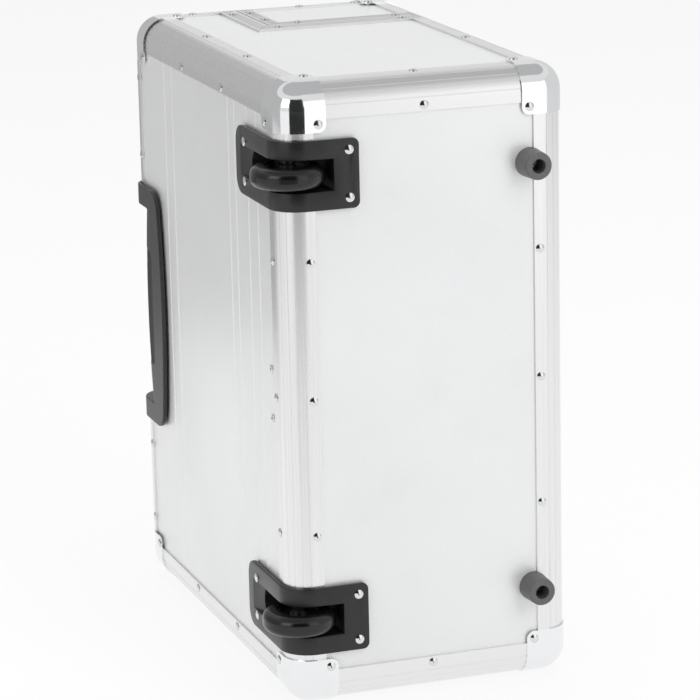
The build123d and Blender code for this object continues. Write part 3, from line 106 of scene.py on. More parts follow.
class Wiring:
    """Places and joins the nodes of one shader tree."""

    def __init__(self, tree: bpy.types.NodeTree) -> None:
        """Starts wiring a tree.

        Args:
            tree: the material's or the group's node tree.
        """
        self.tree = tree

    def node(self, kind: str, **settings: object) -> bpy.types.Node:
        """Adds a node.

        Args:
            kind: the node's type, without its ShaderNode prefix.
            **settings: properties of the node, set by name.

        Returns:
            The new node.
        """
        made = self.tree.nodes.new("ShaderNode" + kind)
        for key, value in settings.items():
            setattr(made, key, value)
        return made

    def join(self, source: bpy.types.NodeSocket, target: bpy.types.NodeSocket) -> None:
        """Links one socket to another."""
        self.tree.links.new(source, target)

    def feed(self, target: bpy.types.NodeSocket, value: object) -> None:
        """Links a socket to a target, or sets the target's own value.

        Args:
            target: the socket to feed.
            value: another node's output, or a plain value.
        """
        if isinstance(value, bpy.types.NodeSocket):
            self.join(value, target)
        else:
            target.default_value = value

    def math(self, operation: str, *values: object, clamp: bool = False) -> bpy.types.NodeSocket:
        """Adds a Math node.

        Args:
            operation: the node's operation.
            *values: sockets or numbers for its inputs.
            clamp: whether the result is held between 0 and 1.

        Returns:
            The node's result.
        """
        made = self.node("Math", operation=operation, use_clamp=clamp)
        for place, value in enumerate(values):
            self.feed(made.inputs[place], value)
        return made.outputs[0]

    def total(self, *parts: tuple[object, float]) -> bpy.types.NodeSocket:
        """Adds up values by their weights.

        Args:
            *parts: each value, a socket or a number, with its weight.

        Returns:
            The sum.
        """
        terms = [value if weight == 1.0 else self.math("MULTIPLY", value, weight)
                 for value, weight in parts]
        result = terms[0]
        for term in terms[1:]:
            result = self.math("ADD", result, term)
        return result

    def product(self, *values: object) -> bpy.types.NodeSocket:
        """Multiplies values.

        Args:
            *values: sockets or numbers, two at least.

        Returns:
            The product.
        """
        result = values[0]
        for value in values[1:]:
            result = self.math("MULTIPLY", result, value)
        return result

    def axes(self, vector: bpy.types.NodeSocket) -> bpy.types.NodeOutputs:
        """Takes a vector apart.

        Args:
            vector: the vector.

        Returns:
            Its X, Y and Z, by name.
        """
        apart = self.node("SeparateXYZ")
        self.join(vector, apart.inputs[0])
        return apart.outputs

    def scaled(self, vector: bpy.types.NodeSocket, factors: object) -> bpy.types.NodeSocket:
        """Multiplies a vector along each axis.

        Args:
            vector: the vector.
            factors: three numbers, or a vector's socket.

        Returns:
            The scaled vector.
        """
        made = self.node("VectorMath", operation="MULTIPLY")
        self.join(vector, made.inputs[0])
        self.feed(made.inputs[1], factors)
        return made.outputs[0]

    def noise(self, vector: bpy.types.NodeSocket, scale: object, detail: float = 2.0,
              roughness: float = 0.5) -> bpy.types.NodeSocket:
        """Adds a noise pattern.

        Args:
            vector: the coordinates it reads.
            scale: its scale, a number or a socket.
            detail: how many finer layers it has.
            roughness: how strong those layers are.

        Returns:
            The pattern's value.
        """
        made = self.node("TexNoise")
        self.join(vector, made.inputs["Vector"])
        self.feed(made.inputs["Scale"], scale)
        made.inputs["Detail"].default_value = detail
        made.inputs["Roughness"].default_value = roughness
        return made.outputs["Fac"]

    def between(self, value: bpy.types.NodeSocket, low: float, high: float,
                out_low: float = 0.0, out_high: float = 1.0) -> bpy.types.NodeSocket:
        """Maps a range of values onto another, held at its ends.

        Args:
            value: the value to map.
            low: the value that gives out_low.
            high: the value that gives out_high.
            out_low: one end of the result.
            out_high: its other end.

        Returns:
            The mapped value.
        """
        made = self.node("MapRange", clamp=True)
        self.join(value, made.inputs["Value"])
        for name, number in (("From Min", low), ("From Max", high), ("To Min", out_low),
                             ("To Max", out_high)):
            made.inputs[name].default_value = number
        return made.outputs["Result"]

    def blend(self, share: object, first: object, second: object) -> bpy.types.NodeSocket:
        """Mixes two colours.

        Args:
            share: how much of the second shows.
            first: a colour or a socket.
            second: a colour or a socket.

        Returns:
            The mixed colour.
        """
        made = self.node("Mix", data_type="RGBA")
        self.feed(made.inputs["Factor"], share)
        colours = [socket for socket in made.inputs if socket.type == "RGBA"]
        self.feed(colours[0], first)
        self.feed(colours[1], second)
        return [socket for socket in made.outputs if socket.type == "RGBA"][0]

    def seen_or_mirrored(self) -> bpy.types.NodeSocket:
        """Tells the rays that show a surface from those that light one.

        Returns:
            1 for a ray from the camera, a glossy surface or glass, and 0 for any other.
        """
        path = self.node("LightPath")
        mirrored = self.math("MAXIMUM", path.outputs["Is Glossy Ray"],
                             path.outputs["Is Transmission Ray"])
        return self.math("MAXIMUM", path.outputs["Is Camera Ray"], mirrored)

    def surface(self, shader: bpy.types.NodeSocket, kind: str = "OutputMaterial") -> None:
        """Ends the tree in a shader.

        Args:
            shader: the shader's output.
            kind: the type of the tree's output node.
        """
        self.join(shader, self.node(kind).inputs["Surface"])


class Effects:
    """Node groups that several finishes share, each built once."""

    def __init__(self) -> None:
        """Starts with no group built."""
        self.built: dict[str, bpy.types.NodeTree] = {}

    def start(self, name: str, inputs: dict[str, tuple[str, object]],
              outputs: dict[str, str]) -> tuple[Wiring, bpy.types.Node, bpy.types.Node]:
        """Opens a new group.

        Args:
            name: the group's name.
            inputs: each input's kind of socket and its value.
            outputs: each output's kind of socket.

        Returns:
            The wiring of the group, its input node and its output node.
        """
        tree = bpy.data.node_groups.new(name, "ShaderNodeTree")
        for label, (kind, value) in inputs.items():
            socket = tree.interface.new_socket(name=label, in_out="INPUT",
                                               socket_type="NodeSocket" + kind)
            if value is not None:
                socket.default_value = value
        for label, kind in outputs.items():
            tree.interface.new_socket(name=label, in_out="OUTPUT",
                                      socket_type="NodeSocket" + kind)
        source = tree.nodes.new("NodeGroupInput")
        result = tree.nodes.new("NodeGroupOutput")
        self.built[name] = tree
        return Wiring(tree), source, result

    def drawn_grain(self) -> bpy.types.NodeTree:
        """Fine lines along a run, as on drawn or brushed metal.

        Returns:
            The group, which takes Vector, Stretch and Scale and gives Height and Tone.
        """
        if "drawn_grain" not in self.built:
            wire, source, result = self.start(
                "drawn_grain",
                {"Vector": ("Vector", None), "Stretch": ("Vector", (1.0, 1.0, 0.02)),
                 "Scale": ("Float", 900.0)},
                {"Height": "Float", "Tone": "Float"})
            scale = source.outputs["Scale"]
            lines = wire.scaled(source.outputs["Vector"], source.outputs["Stretch"])
            fine = wire.noise(lines, scale, detail=4.0, roughness=0.62)
            broad = wire.noise(lines, wire.product(scale, 0.12))
            height = wire.total((fine, 0.7), (broad, 0.3))
            wire.join(height, result.inputs["Height"])
            wire.join(wire.between(height, low=0.36, high=0.64), result.inputs["Tone"])
        return self.built["drawn_grain"]

    def handling_wear(self) -> bpy.types.NodeTree:
        """Sparse rubbed patches and hairline scratches.

        Returns:
            The group, which takes Vector and Amount and gives Mask.
        """
        if "handling_wear" not in self.built:
            wire, source, result = self.start(
                "handling_wear", {"Vector": ("Vector", None), "Amount": ("Float", 0.3)},
                {"Mask": "Float"})
            place = source.outputs["Vector"]
            patches = wire.between(wire.noise(place, scale=22.0, detail=3.0), low=0.52, high=0.72)
            turned = wire.node("VectorRotate", rotation_type="EULER_XYZ")
            wire.join(place, turned.inputs["Vector"])
            turned.inputs["Rotation"].default_value = (0.5, 0.3, 0.9)
            hair = wire.noise(wire.scaled(turned.outputs[0], (1.0, 0.04, 1.0)), scale=620.0)
            scratches = wire.between(hair, low=0.66, high=0.74)
            rubbed = wire.product(patches, wire.math("ADD", scratches, 0.25))
            wire.join(wire.math("MULTIPLY", rubbed, source.outputs["Amount"], clamp=True),
                      result.inputs["Mask"])
        return self.built["handling_wear"]

    def stipple(self) -> bpy.types.NodeTree:
        """Closely spaced pits, as on embossed foil or spark-eroded moulding.

        Returns:
            The group, which takes Vector and Scale and gives Height and Tone.
        """
        if "stipple" not in self.built:
            wire, source, result = self.start(
                "stipple", {"Vector": ("Vector", None), "Scale": ("Float", 900.0)},
                {"Height": "Float", "Tone": "Float"})
            place, scale = source.outputs["Vector"], source.outputs["Scale"]
            cells = wire.node("TexVoronoi", feature="SMOOTH_F1")
            wire.join(place, cells.inputs["Vector"])
            wire.join(scale, cells.inputs["Scale"])
            drift = wire.noise(place, wire.product(scale, 0.35))
            wire.join(wire.total((cells.outputs["Distance"], 0.6), (drift, 0.6)),
                      result.inputs["Height"])
            wire.join(wire.between(drift, low=0.3, high=0.7), result.inputs["Tone"])
        return self.built["stipple"]

    def settled_dust(self) -> bpy.types.NodeTree:
        """A thin uneven film that dulls a dark surface.

        Returns:
            The group, which takes Vector and Amount and gives Mask.
        """
        if "settled_dust" not in self.built:
            wire, source, result = self.start(
                "settled_dust", {"Vector": ("Vector", None), "Amount": ("Float", 0.1)},
                {"Mask": "Float"})
            place = source.outputs["Vector"]
            cloud = wire.between(wire.noise(place, scale=34.0, detail=4.0, roughness=0.6),
                                 low=0.35, high=0.8)
            specks = wire.between(wire.noise(place, scale=900.0, detail=1.0), low=0.62, high=0.75)
            film = wire.total((cloud, 0.8), (specks, 0.35))
            wire.join(wire.math("MULTIPLY", film, source.outputs["Amount"], clamp=True),
                      result.inputs["Mask"])
        return self.built["settled_dust"]

    def plain_weave(self) -> bpy.types.NodeTree:
        """Over and under threads of a lining cloth, seen on any face.

        Returns:
            The group, which takes Vector and Scale and gives Height and Tone.
        """
        if "plain_weave" not in self.built:
            wire, source, result = self.start(
                "plain_weave", {"Vector": ("Vector", None), "Scale": ("Float", 380.0)},
                {"Height": "Float", "Tone": "Float"})
            waves = []
            for direction in ("X", "Y", "Z"):
                wave = wire.node("TexWave", wave_type="BANDS", bands_direction=direction,
                                 wave_profile="SIN")
                wire.join(source.outputs["Vector"], wave.inputs["Vector"])
                wire.join(source.outputs["Scale"], wave.inputs["Scale"])
                wave.inputs["Distortion"].default_value = 0.4
                wave.inputs["Detail"].default_value = 1.0
                waves.append(wave.outputs["Fac"])
            height = wire.math("MAXIMUM", waves[0], wire.math("MAXIMUM", waves[1], waves[2]))
            fuzz = wire.noise(source.outputs["Vector"], scale=1400.0)
            wire.join(wire.total((height, 1.0), (fuzz, 0.5)), result.inputs["Height"])
            shade = wire.between(fuzz, low=0.2, high=0.8, out_low=0.75)
            wire.join(wire.product(height, shade), result.inputs["Tone"])
        return self.built["plain_weave"]


EFFECTS = Effects()


def place_group(wire: Wiring, group: bpy.types.NodeTree, vector: bpy.types.NodeSocket,
                **values: object) -> bpy.types.Node:
    """Puts a shared effect into a material.

    Args:
        wire: the material's wiring.
        group: the effect's node group.
        vector: the coordinates it reads.
        **values: the effect's own values, by input name.

    Returns:
        The group's node.
    """
    made = wire.tree.nodes.new("ShaderNodeGroup")
    made.node_tree = group
    wire.join(vector, made.inputs["Vector"])
    for name, value in values.items():
        wire.feed(made.inputs[name], value)
    return made


def open_material(
        name: str) -> tuple[bpy.types.Material, Wiring, bpy.types.Node, bpy.types.NodeSocket]:
    """Starts a material.

    Args:
        name: the material's name.

    Returns:
        The material, its wiring, its shader and the object coordinates.
    """
    material = bpy.data.materials.new(name)
    material.use_nodes = True
    shader = material.node_tree.nodes["Principled BSDF"]
    wire = Wiring(material.node_tree)
    place = wire.node("TexCoord").outputs["Object"]
    return material, wire, shader, place


def open_plain_material(name: str) -> tuple[bpy.types.Material, Wiring]:
    """Starts a material with an empty tree, for a part of the studio.

    Args:
        name: the material's name.

    Returns:
        The material and its wiring.
    """
    material = bpy.data.materials.new(name)
    material.use_nodes = True
    wire = Wiring(material.node_tree)
    wire.tree.nodes.clear()
    return material, wire


def add_bump(wire: Wiring, shader: bpy.types.Node, height: bpy.types.NodeSocket,
             strength: float, depth: float) -> None:
    """Turns a height into relief on the shader's normal.

    Args:
        wire: the material's wiring.
        shader: the material's shader.
        height: the pattern of the relief.
        strength: how much of it shows, from 0 to 1.
        depth: its depth in metres.
    """
    bump = wire.node("Bump")
    bump.inputs["Strength"].default_value = strength
    bump.inputs["Distance"].default_value = depth
    wire.join(height, bump.inputs["Height"])
    wire.join(bump.outputs["Normal"], shader.inputs["Normal"])


@dataclass(frozen=True)
class DrawnMetal:
    """Anodised or bare metal with a grain along its run."""

    name: str
    light: Colour
    dark: Colour
    smooth: float = 0.26
    rough: float = 0.30
    run: Run = Run.ALONG_Z
    scale: float = 1100.0
    drawn_out: float = 0.006
    relief: float = 0.025
    relief_depth: float = 0.08 * MM
    wear: float = 0.15
    worn_roughness: float = 0.15

    def stretch(self, wire: Wiring, place: bpy.types.NodeSocket) -> object:
        """Factors that draw the grain out along the run.

        Args:
            wire: the material's wiring.
            place: object coordinates.

        Returns:
            Plain factors, or a socket where the run turns with the place.
        """
        factors = {Run.ALONG_X: (self.drawn_out, 1.0, 1.0),
                   Run.ALONG_Y: (1.0, self.drawn_out, 1.0),
                   Run.ALONG_Z: (1.0, 1.0, self.drawn_out)}
        if self.run in factors:
            return factors[self.run]
        up = wire.axes(place)["Y"]
        below = wire.math("LESS_THAN", up, BASE_Y + EDGE_LEG)
        above = wire.math("GREATER_THAN", up, TOP_Y - EDGE_LEG)
        choice = wire.node("Mix", data_type="VECTOR")
        wire.join(wire.math("MAXIMUM", below, above), choice.inputs["Factor"])
        vectors = [socket for socket in choice.inputs if socket.type == "VECTOR"]
        vectors[0].default_value = factors[Run.ALONG_Y]
        vectors[1].default_value = factors[Run.ALONG_X]
        return [socket for socket in choice.outputs if socket.type == "VECTOR"][0]

    def build(self) -> bpy.types.Material:
        """Makes the material.

        Returns:
            The material.
        """
        material, wire, shader, place = open_material(self.name)
        grain = place_group(wire, EFFECTS.drawn_grain(), place, Scale=self.scale,
                            Stretch=self.stretch(wire, place))
        worn = place_group(wire, EFFECTS.handling_wear(), place, Amount=self.wear)
        tone = wire.blend(grain.outputs["Tone"], self.dark, self.light)
        wire.join(wire.blend(worn.outputs["Mask"], tone, self.light), shader.inputs["Base Color"])
        rough = wire.between(grain.outputs["Tone"], 0.0, 1.0, self.rough, self.smooth)
        wire.join(wire.total((rough, 1.0), (worn.outputs["Mask"], self.worn_roughness)),
                  shader.inputs["Roughness"])
        shader.inputs["Metallic"].default_value = 1.0
        add_bump(wire, shader, grain.outputs["Height"], self.relief, self.relief_depth)
        return material


@dataclass(frozen=True)
class Plating:
    """Bright plating with faint polishing haze."""

    name: str
    colour: Colour
    smooth: float = 0.05
    haze: float = 0.14
    haze_scale: float = 60.0
    wear: float = 0.5
    worn_tone: float = 0.8
    worn_roughness: float = 0.25
    ripple: float = 0.04
    ripple_scale: float = 240.0
    ripple_depth: float = 0.2 * MM

    def build(self) -> bpy.types.Material:
        """Makes the material.

        Returns:
            The material.
        """
        material, wire, shader, place = open_material(self.name)
        worn = place_group(wire, EFFECTS.handling_wear(), place, Amount=self.wear)
        cloud = wire.noise(place, self.haze_scale, detail=3.0)
        rough = wire.between(cloud, 0.35, 0.75, self.smooth, self.haze)
        wire.join(wire.total((rough, 1.0), (worn.outputs["Mask"], self.worn_roughness)),
                  shader.inputs["Roughness"])
        dull = toned(self.colour, self.worn_tone)
        wire.join(wire.blend(worn.outputs["Mask"], self.colour, dull), shader.inputs["Base Color"])
        shader.inputs["Metallic"].default_value = 1.0
        add_bump(wire, shader, wire.noise(place, self.ripple_scale), self.ripple,
                 self.ripple_depth)
        return material


@dataclass(frozen=True)
class FoilPanel:
    """Pale silver laminate, finely stippled, with a soft sheen."""

    name: str
    light: Colour
    dark: Colour
    roughness: float = 0.36
    roughness_spread: float = 0.06
    metal: float = 0.42
    pit_scale: float = 1500.0
    pit_share: float = 0.6
    cloud_scale: float = 7.0
    cloud_share: float = 0.4
    relief: float = 0.10
    relief_depth: float = 0.1 * MM
    wear: float = 0.25
    worn_tone: float = 0.75

    def build(self) -> bpy.types.Material:
        """Makes the material.

        Returns:
            The material.
        """
        material, wire, shader, place = open_material(self.name)
        pits = place_group(wire, EFFECTS.stipple(), place, Scale=self.pit_scale)
        worn = place_group(wire, EFFECTS.handling_wear(), place, Amount=self.wear)
        cloud = wire.between(wire.noise(place, self.cloud_scale, detail=3.0), low=0.3, high=0.7)
        share = wire.total((pits.outputs["Tone"], self.pit_share), (cloud, self.cloud_share))
        tone = wire.blend(share, self.dark, self.light)
        wire.join(wire.blend(worn.outputs["Mask"], tone, toned(self.dark, self.worn_tone)),
                  shader.inputs["Base Color"])
        wire.join(wire.between(cloud, 0.0, 1.0, self.roughness + self.roughness_spread,
                               self.roughness - self.roughness_spread),
                  shader.inputs["Roughness"])
        shader.inputs["Metallic"].default_value = self.metal
        add_bump(wire, shader, pits.outputs["Height"], self.relief, self.relief_depth)
        return material


@dataclass(frozen=True)
class Moulding:
    """Moulded plastic or rubber with a spark-eroded texture and a film of dust."""

    name: str
    colour: Colour
    roughness: float = 0.42
    texture: float = 1700.0
    relief: float = 0.25
    relief_depth: float = 0.12 * MM
    dust: float = 0.10
    dust_roughness: float = 0.5
    wear: float = 0.5
    worn_share: float = 0.4
    worn_roughness: float = -0.15
    coat: float = 0.0
    coat_roughness: float = 0.12

    def build(self) -> bpy.types.Material:
        """Makes the material.

        Returns:
            The material.
        """
        material, wire, shader, place = open_material(self.name)
        pits = place_group(wire, EFFECTS.stipple(), place, Scale=self.texture)
        film = place_group(wire, EFFECTS.settled_dust(), place, Amount=self.dust).outputs["Mask"]
        worn = place_group(wire, EFFECTS.handling_wear(), place, Amount=self.wear).outputs["Mask"]
        pale = toned(self.colour, 0.6, lift=0.16)
        tone = wire.blend(pits.outputs["Tone"], toned(self.colour, 0.8), self.colour)
        dusted = wire.blend(film, tone, pale)
        wire.join(wire.blend(wire.product(worn, self.worn_share), dusted, pale),
                  shader.inputs["Base Color"])
        wire.join(wire.total((film, self.dust_roughness), (self.roughness, 1.0),
                             (worn, self.worn_roughness)),
                  shader.inputs["Roughness"])
        if self.coat:
            shader.inputs["Coat Weight"].default_value = self.coat
            shader.inputs["Coat Roughness"].default_value = self.coat_roughness
        add_bump(wire, shader, pits.outputs["Height"], self.relief, self.relief_depth)
        return material


@dataclass(frozen=True)
class GripPlastic:
    """Charcoal plastic of the trolley grip, matter in its finger recess, where painted shade
    darkens its colour more the deeper it goes.
    """

    name: str
    colour: Colour
    roughness: float = 0.38
    texture: float = 1700.0
    relief: float = 0.25
    relief_depth: float = 0.1 * MM
    dust: float = 0.03
    wear: float = 0.4
    worn_share: float = 0.3
    worn_roughness: float = -0.12
    # how far the painted shade in the finger recess darkens the colour
    recess_painted_shade: float = 0.35
    recess_roughness: float = 0.25
    recess_low: float = TOP_Y - 48.0 * MM
    recess_high: float = TOP_Y - 24.0 * MM
    recess_half: float = 49.0 * MM
    recess_edge: float = 0.5 * MM
    recess_mouth: float = BACK_X - 2.2 * MM
    recess_depth: float = BACK_X - 1.6 * MM

    def recess(self, wire: Wiring, place: bpy.types.NodeSocket) -> bpy.types.NodeSocket:
        """Where the finger recess is, from 0 outside to 1 in it, rising with depth; it sets both
        the painted shade and the matter finish there.

        Args:
            wire: the material's wiring.
            place: object coordinates.

        Returns:
            The mask.
        """
        axes = wire.axes(place)
        soft = self.recess_edge
        low = wire.between(axes["Y"], self.recess_low - soft, self.recess_low + soft)
        high = wire.between(axes["Y"], self.recess_high + soft, self.recess_high - soft)
        out = wire.math("ABSOLUTE", wire.math("SUBTRACT", axes["Z"], MID_Z))
        long = wire.between(out, self.recess_half + soft, self.recess_half - soft)
        # the mask grows with depth into the recess, so the painted shade there deepens inward
        deep = wire.between(axes["X"], self.recess_mouth, self.recess_depth)
        return wire.product(low, high, long, deep)

    def build(self) -> bpy.types.Material:
        """Makes the material.

        Returns:
            The material.
        """
        material, wire, shader, place = open_material(self.name)
        pits = place_group(wire, EFFECTS.stipple(), place, Scale=self.texture)
        film = place_group(wire, EFFECTS.settled_dust(), place, Amount=self.dust).outputs["Mask"]
        worn = place_group(wire, EFFECTS.handling_wear(), place, Amount=self.wear).outputs["Mask"]
        recess = self.recess(wire, place)
        # painted shade: the recess gets a darker colour, stronger deeper in, standing in for the
        # shade that falls there; its extra roughness is the real matter finish
        tone = wire.blend(recess, self.colour, toned(self.colour, self.recess_painted_shade))
        share = wire.math("MAXIMUM", film, wire.product(worn, self.worn_share))
        wire.join(wire.blend(share, tone, toned(self.colour, 1.0, lift=0.12)),
                  shader.inputs["Base Color"])
        wire.join(wire.total((recess, self.recess_roughness), (self.roughness, 1.0),
                             (worn, self.worn_roughness)),
                  shader.inputs["Roughness"])
        add_bump(wire, shader, pits.outputs["Height"], self.relief, self.relief_depth)
        return material


@dataclass(frozen=True)
class LiningCloth:
    """Dark woven lining with a slight sheen."""

    name: str
    colour: Colour
    thread: float = 420.0
    roughness: float = 0.85
    sheen: float = 0.3
    dust: float = 0.12
    relief: float = 0.5
    relief_depth: float = 0.2 * MM

    def build(self) -> bpy.types.Material:
        """Makes the material.

        Returns:
            The material.
        """
        material, wire, shader, place = open_material(self.name)
        weave = place_group(wire, EFFECTS.plain_weave(), place, Scale=self.thread)
        film = place_group(wire, EFFECTS.settled_dust(), place, Amount=self.dust)
        tone = wire.blend(weave.outputs["Tone"], toned(self.colour, 0.45), self.colour)
        wire.join(wire.blend(film.outputs["Mask"], tone, toned(self.colour, 1.0, lift=0.1)),
                  shader.inputs["Base Color"])
        shader.inputs["Roughness"].default_value = self.roughness
        shader.inputs["Sheen Weight"].default_value = self.sheen
        add_bump(wire, shader, weave.outputs["Height"], self.relief, self.relief_depth)
        return material


EDGE_LIGHT, EDGE_DARK = grey(0.87), grey(0.82)
RIM_LIGHT, RIM_DARK = grey(0.80), grey(0.72)


@dataclass
class Finishes:
    """Every material of the case, by the use it is put to."""

    panel: FoilPanel = FoilPanel("stippled_foil", grey(0.85, 0.006), grey(0.81, 0.006))
    edge_z: DrawnMetal = DrawnMetal("edge_grain_upright", EDGE_LIGHT, EDGE_DARK)
    edge_end: DrawnMetal = DrawnMetal("edge_grain_ends", EDGE_LIGHT, EDGE_DARK,
                                      run=Run.ROUND_THE_END)
    rim: DrawnMetal = DrawnMetal("rim_grain", RIM_LIGHT, RIM_DARK, run=Run.ROUND_THE_END)
    cap: Plating = Plating("cap_chrome", grey(0.88, 0.01))
    rivet: Plating = Plating("rivet_steel", grey(0.74), smooth=0.08, haze=0.18)
    housing: Moulding = Moulding("housing_black", grey(0.010), roughness=0.34, relief=0.12,
                                 dust=0.03)
    tyre: Moulding = Moulding("tyre_black", grey(0.004), roughness=0.20, relief=0.04, dust=0.03)
    hub: Moulding = Moulding("hub_black", grey(0.010), roughness=0.24, relief=0.08, dust=0.03,
                             coat=0.3)
    foot: Moulding = Moulding("foot_rubber_black", grey(0.120), roughness=0.45, dust=0.12)
    grip: GripPlastic = GripPlastic("grip_charcoal", grey(0.022))
    well: Moulding = Moulding("well_black", grey(0.014), roughness=0.45, dust=0.05)
    axle: DrawnMetal = DrawnMetal("turned_steel", grey(0.6), grey(0.5), scale=2400.0)
    tube: DrawnMetal = DrawnMetal("tube_grain", RIM_LIGHT, RIM_DARK, run=Run.ALONG_Y)
    latch: Plating = Plating("latch_nickel", grey(0.76, -0.01), smooth=0.12, haze=0.24)
    hinge: DrawnMetal = DrawnMetal("hinge_strip", grey(0.72), grey(0.62))
    lining: LiningCloth = LiningCloth("lining_black", grey(0.030, 0.03))
    gasket: Moulding = Moulding("gasket_black", grey(0.012), roughness=0.6, dust=0.05)
    made: dict[str, bpy.types.Material] = field(default_factory=dict)

    def get(self, use: str) -> bpy.types.Material:
        """Makes a finish's material once.

        Args:
            use: the name of the finish's field.

        Returns:
            The material.
        """
        if use not in self.made:
            self.made[use] = getattr(self, use).build()
        return self.made[use]


def put_in_scene(shape: bmesh.types.BMesh, name: str) -> bpy.types.Object:
    """Makes an object of a shape.

    Args:
        shape: the shape, which is freed.
        name: the object's name.

    Returns:
        The object.
    """
    mesh = bpy.data.meshes.new(name)
    shape.to_mesh(mesh)
    shape.free()
    item = bpy.data.objects.new(name, mesh)
    bpy.context.scene.collection.objects.link(item)
    return item


def worked_shape(item: bpy.types.Object) -> bmesh.types.BMesh:
    """The shape that an object's modifiers give.

    Args:
        item: the object with its modifiers.

    Returns:
        The shape.
    """
    graph = bpy.context.evaluated_depsgraph_get()
    shape = bmesh.new()
    shape.from_mesh(bpy.data.meshes.new_from_object(item.evaluated_get(graph)))
    return shape


def settle(shape: bmesh.types.BMesh, name: str, material: bpy.types.Material, body: str,
           crease: float = 32.0) -> bpy.types.Object:
    """Turns a shape into a finished piece that rides on a body.

    Args:
        shape: the modelled shape, which is freed.
        name: the piece's name.
        material: its finish.
        body: the body that it moves with.
        crease: the angle in degrees past which an edge stays sharp.

    Returns:
        The piece.
    """
    piece = put_in_scene(shape, name)
    piece.data.shade_smooth()
    piece.data.set_sharp_from_angle(angle=math.radians(crease))
    piece.data.materials.append(material)
    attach(piece, body)
    LOG.info("piece %s: %d faces, rides on %s", name, len(piece.data.polygons), body)
    return piece


@dataclass
class CadDress:
    """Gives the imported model's own nodes their finishes."""

    finishes: Finishes
    nodes: dict[str, bpy.types.Object]

    uses: dict[str, tuple[str, ...]] = field(default_factory=lambda: {
        "panel": ("bottom_panel", "back_panel", "front_panel", "top_strip_panel",
                  "upper_end_panel", "lower_end_panel", "lid_top_panel", "lid_front_panel",
                  "lid_end_panels"),
        "edge_z": ("back_bottom_edge", "front_bottom_edge", "back_top_edge"),
        "edge_end": ("upper_end_edges", "lower_end_edges", "lid_edges"),
        "rim": ("body_rim", "lid_rim"),
        "cap": ("upper_corner_caps", "lower_corner_caps", "lid_corner_caps"),
        "rivet": ("body_rivets", "cap_rivets", "lid_rivets", "lid_cap_rivets", "body_screws"),
        "housing": ("wheel_housing_upper", "wheel_housing_lower"),
        "tyre": ("wheel_tyre_upper", "wheel_tyre_lower"),
        "hub": ("wheel_hub_upper", "wheel_hub_lower", "wheel_spacers"),
        "axle": ("wheel_axles", "handle_pins", "hinge_pin"),
        "foot": ("rubber_feet",),
        "grip": ("trolley_grip",),
        "well": ("grip_well", "tube_collars", "trolley_base_bracket", "release_button",
                 "carry_handle"),
        "tube": ("trolley_outer_tubes", "trolley_middle_tubes", "trolley_inner_tubes"),
        "latch": ("latch_case_upper", "latch_case_lower", "latch_slide_upper",
                  "latch_slide_lower", "key_barrel_upper", "key_barrel_lower", "hasp_upper",
                  "hasp_lower", "hasp_mounts", "handle_brackets"),
        "hinge": ("hinge_body_leaf", "hinge_lid_leaf"),
        "lining": ("body_lining", "divider", "lid_lining"),
    })

    def dress(self) -> None:
        """Assigns each node its material."""
        for use, names in self.uses.items():
            material = self.finishes.get(use)
            for name in names:
                node = self.nodes[name]
                if not node.material_slots:
                    node.data.materials.append(material)
                for holder in node.material_slots:
                    holder.material = material
                LOG.info("node %s: finish %s", name, material.name)


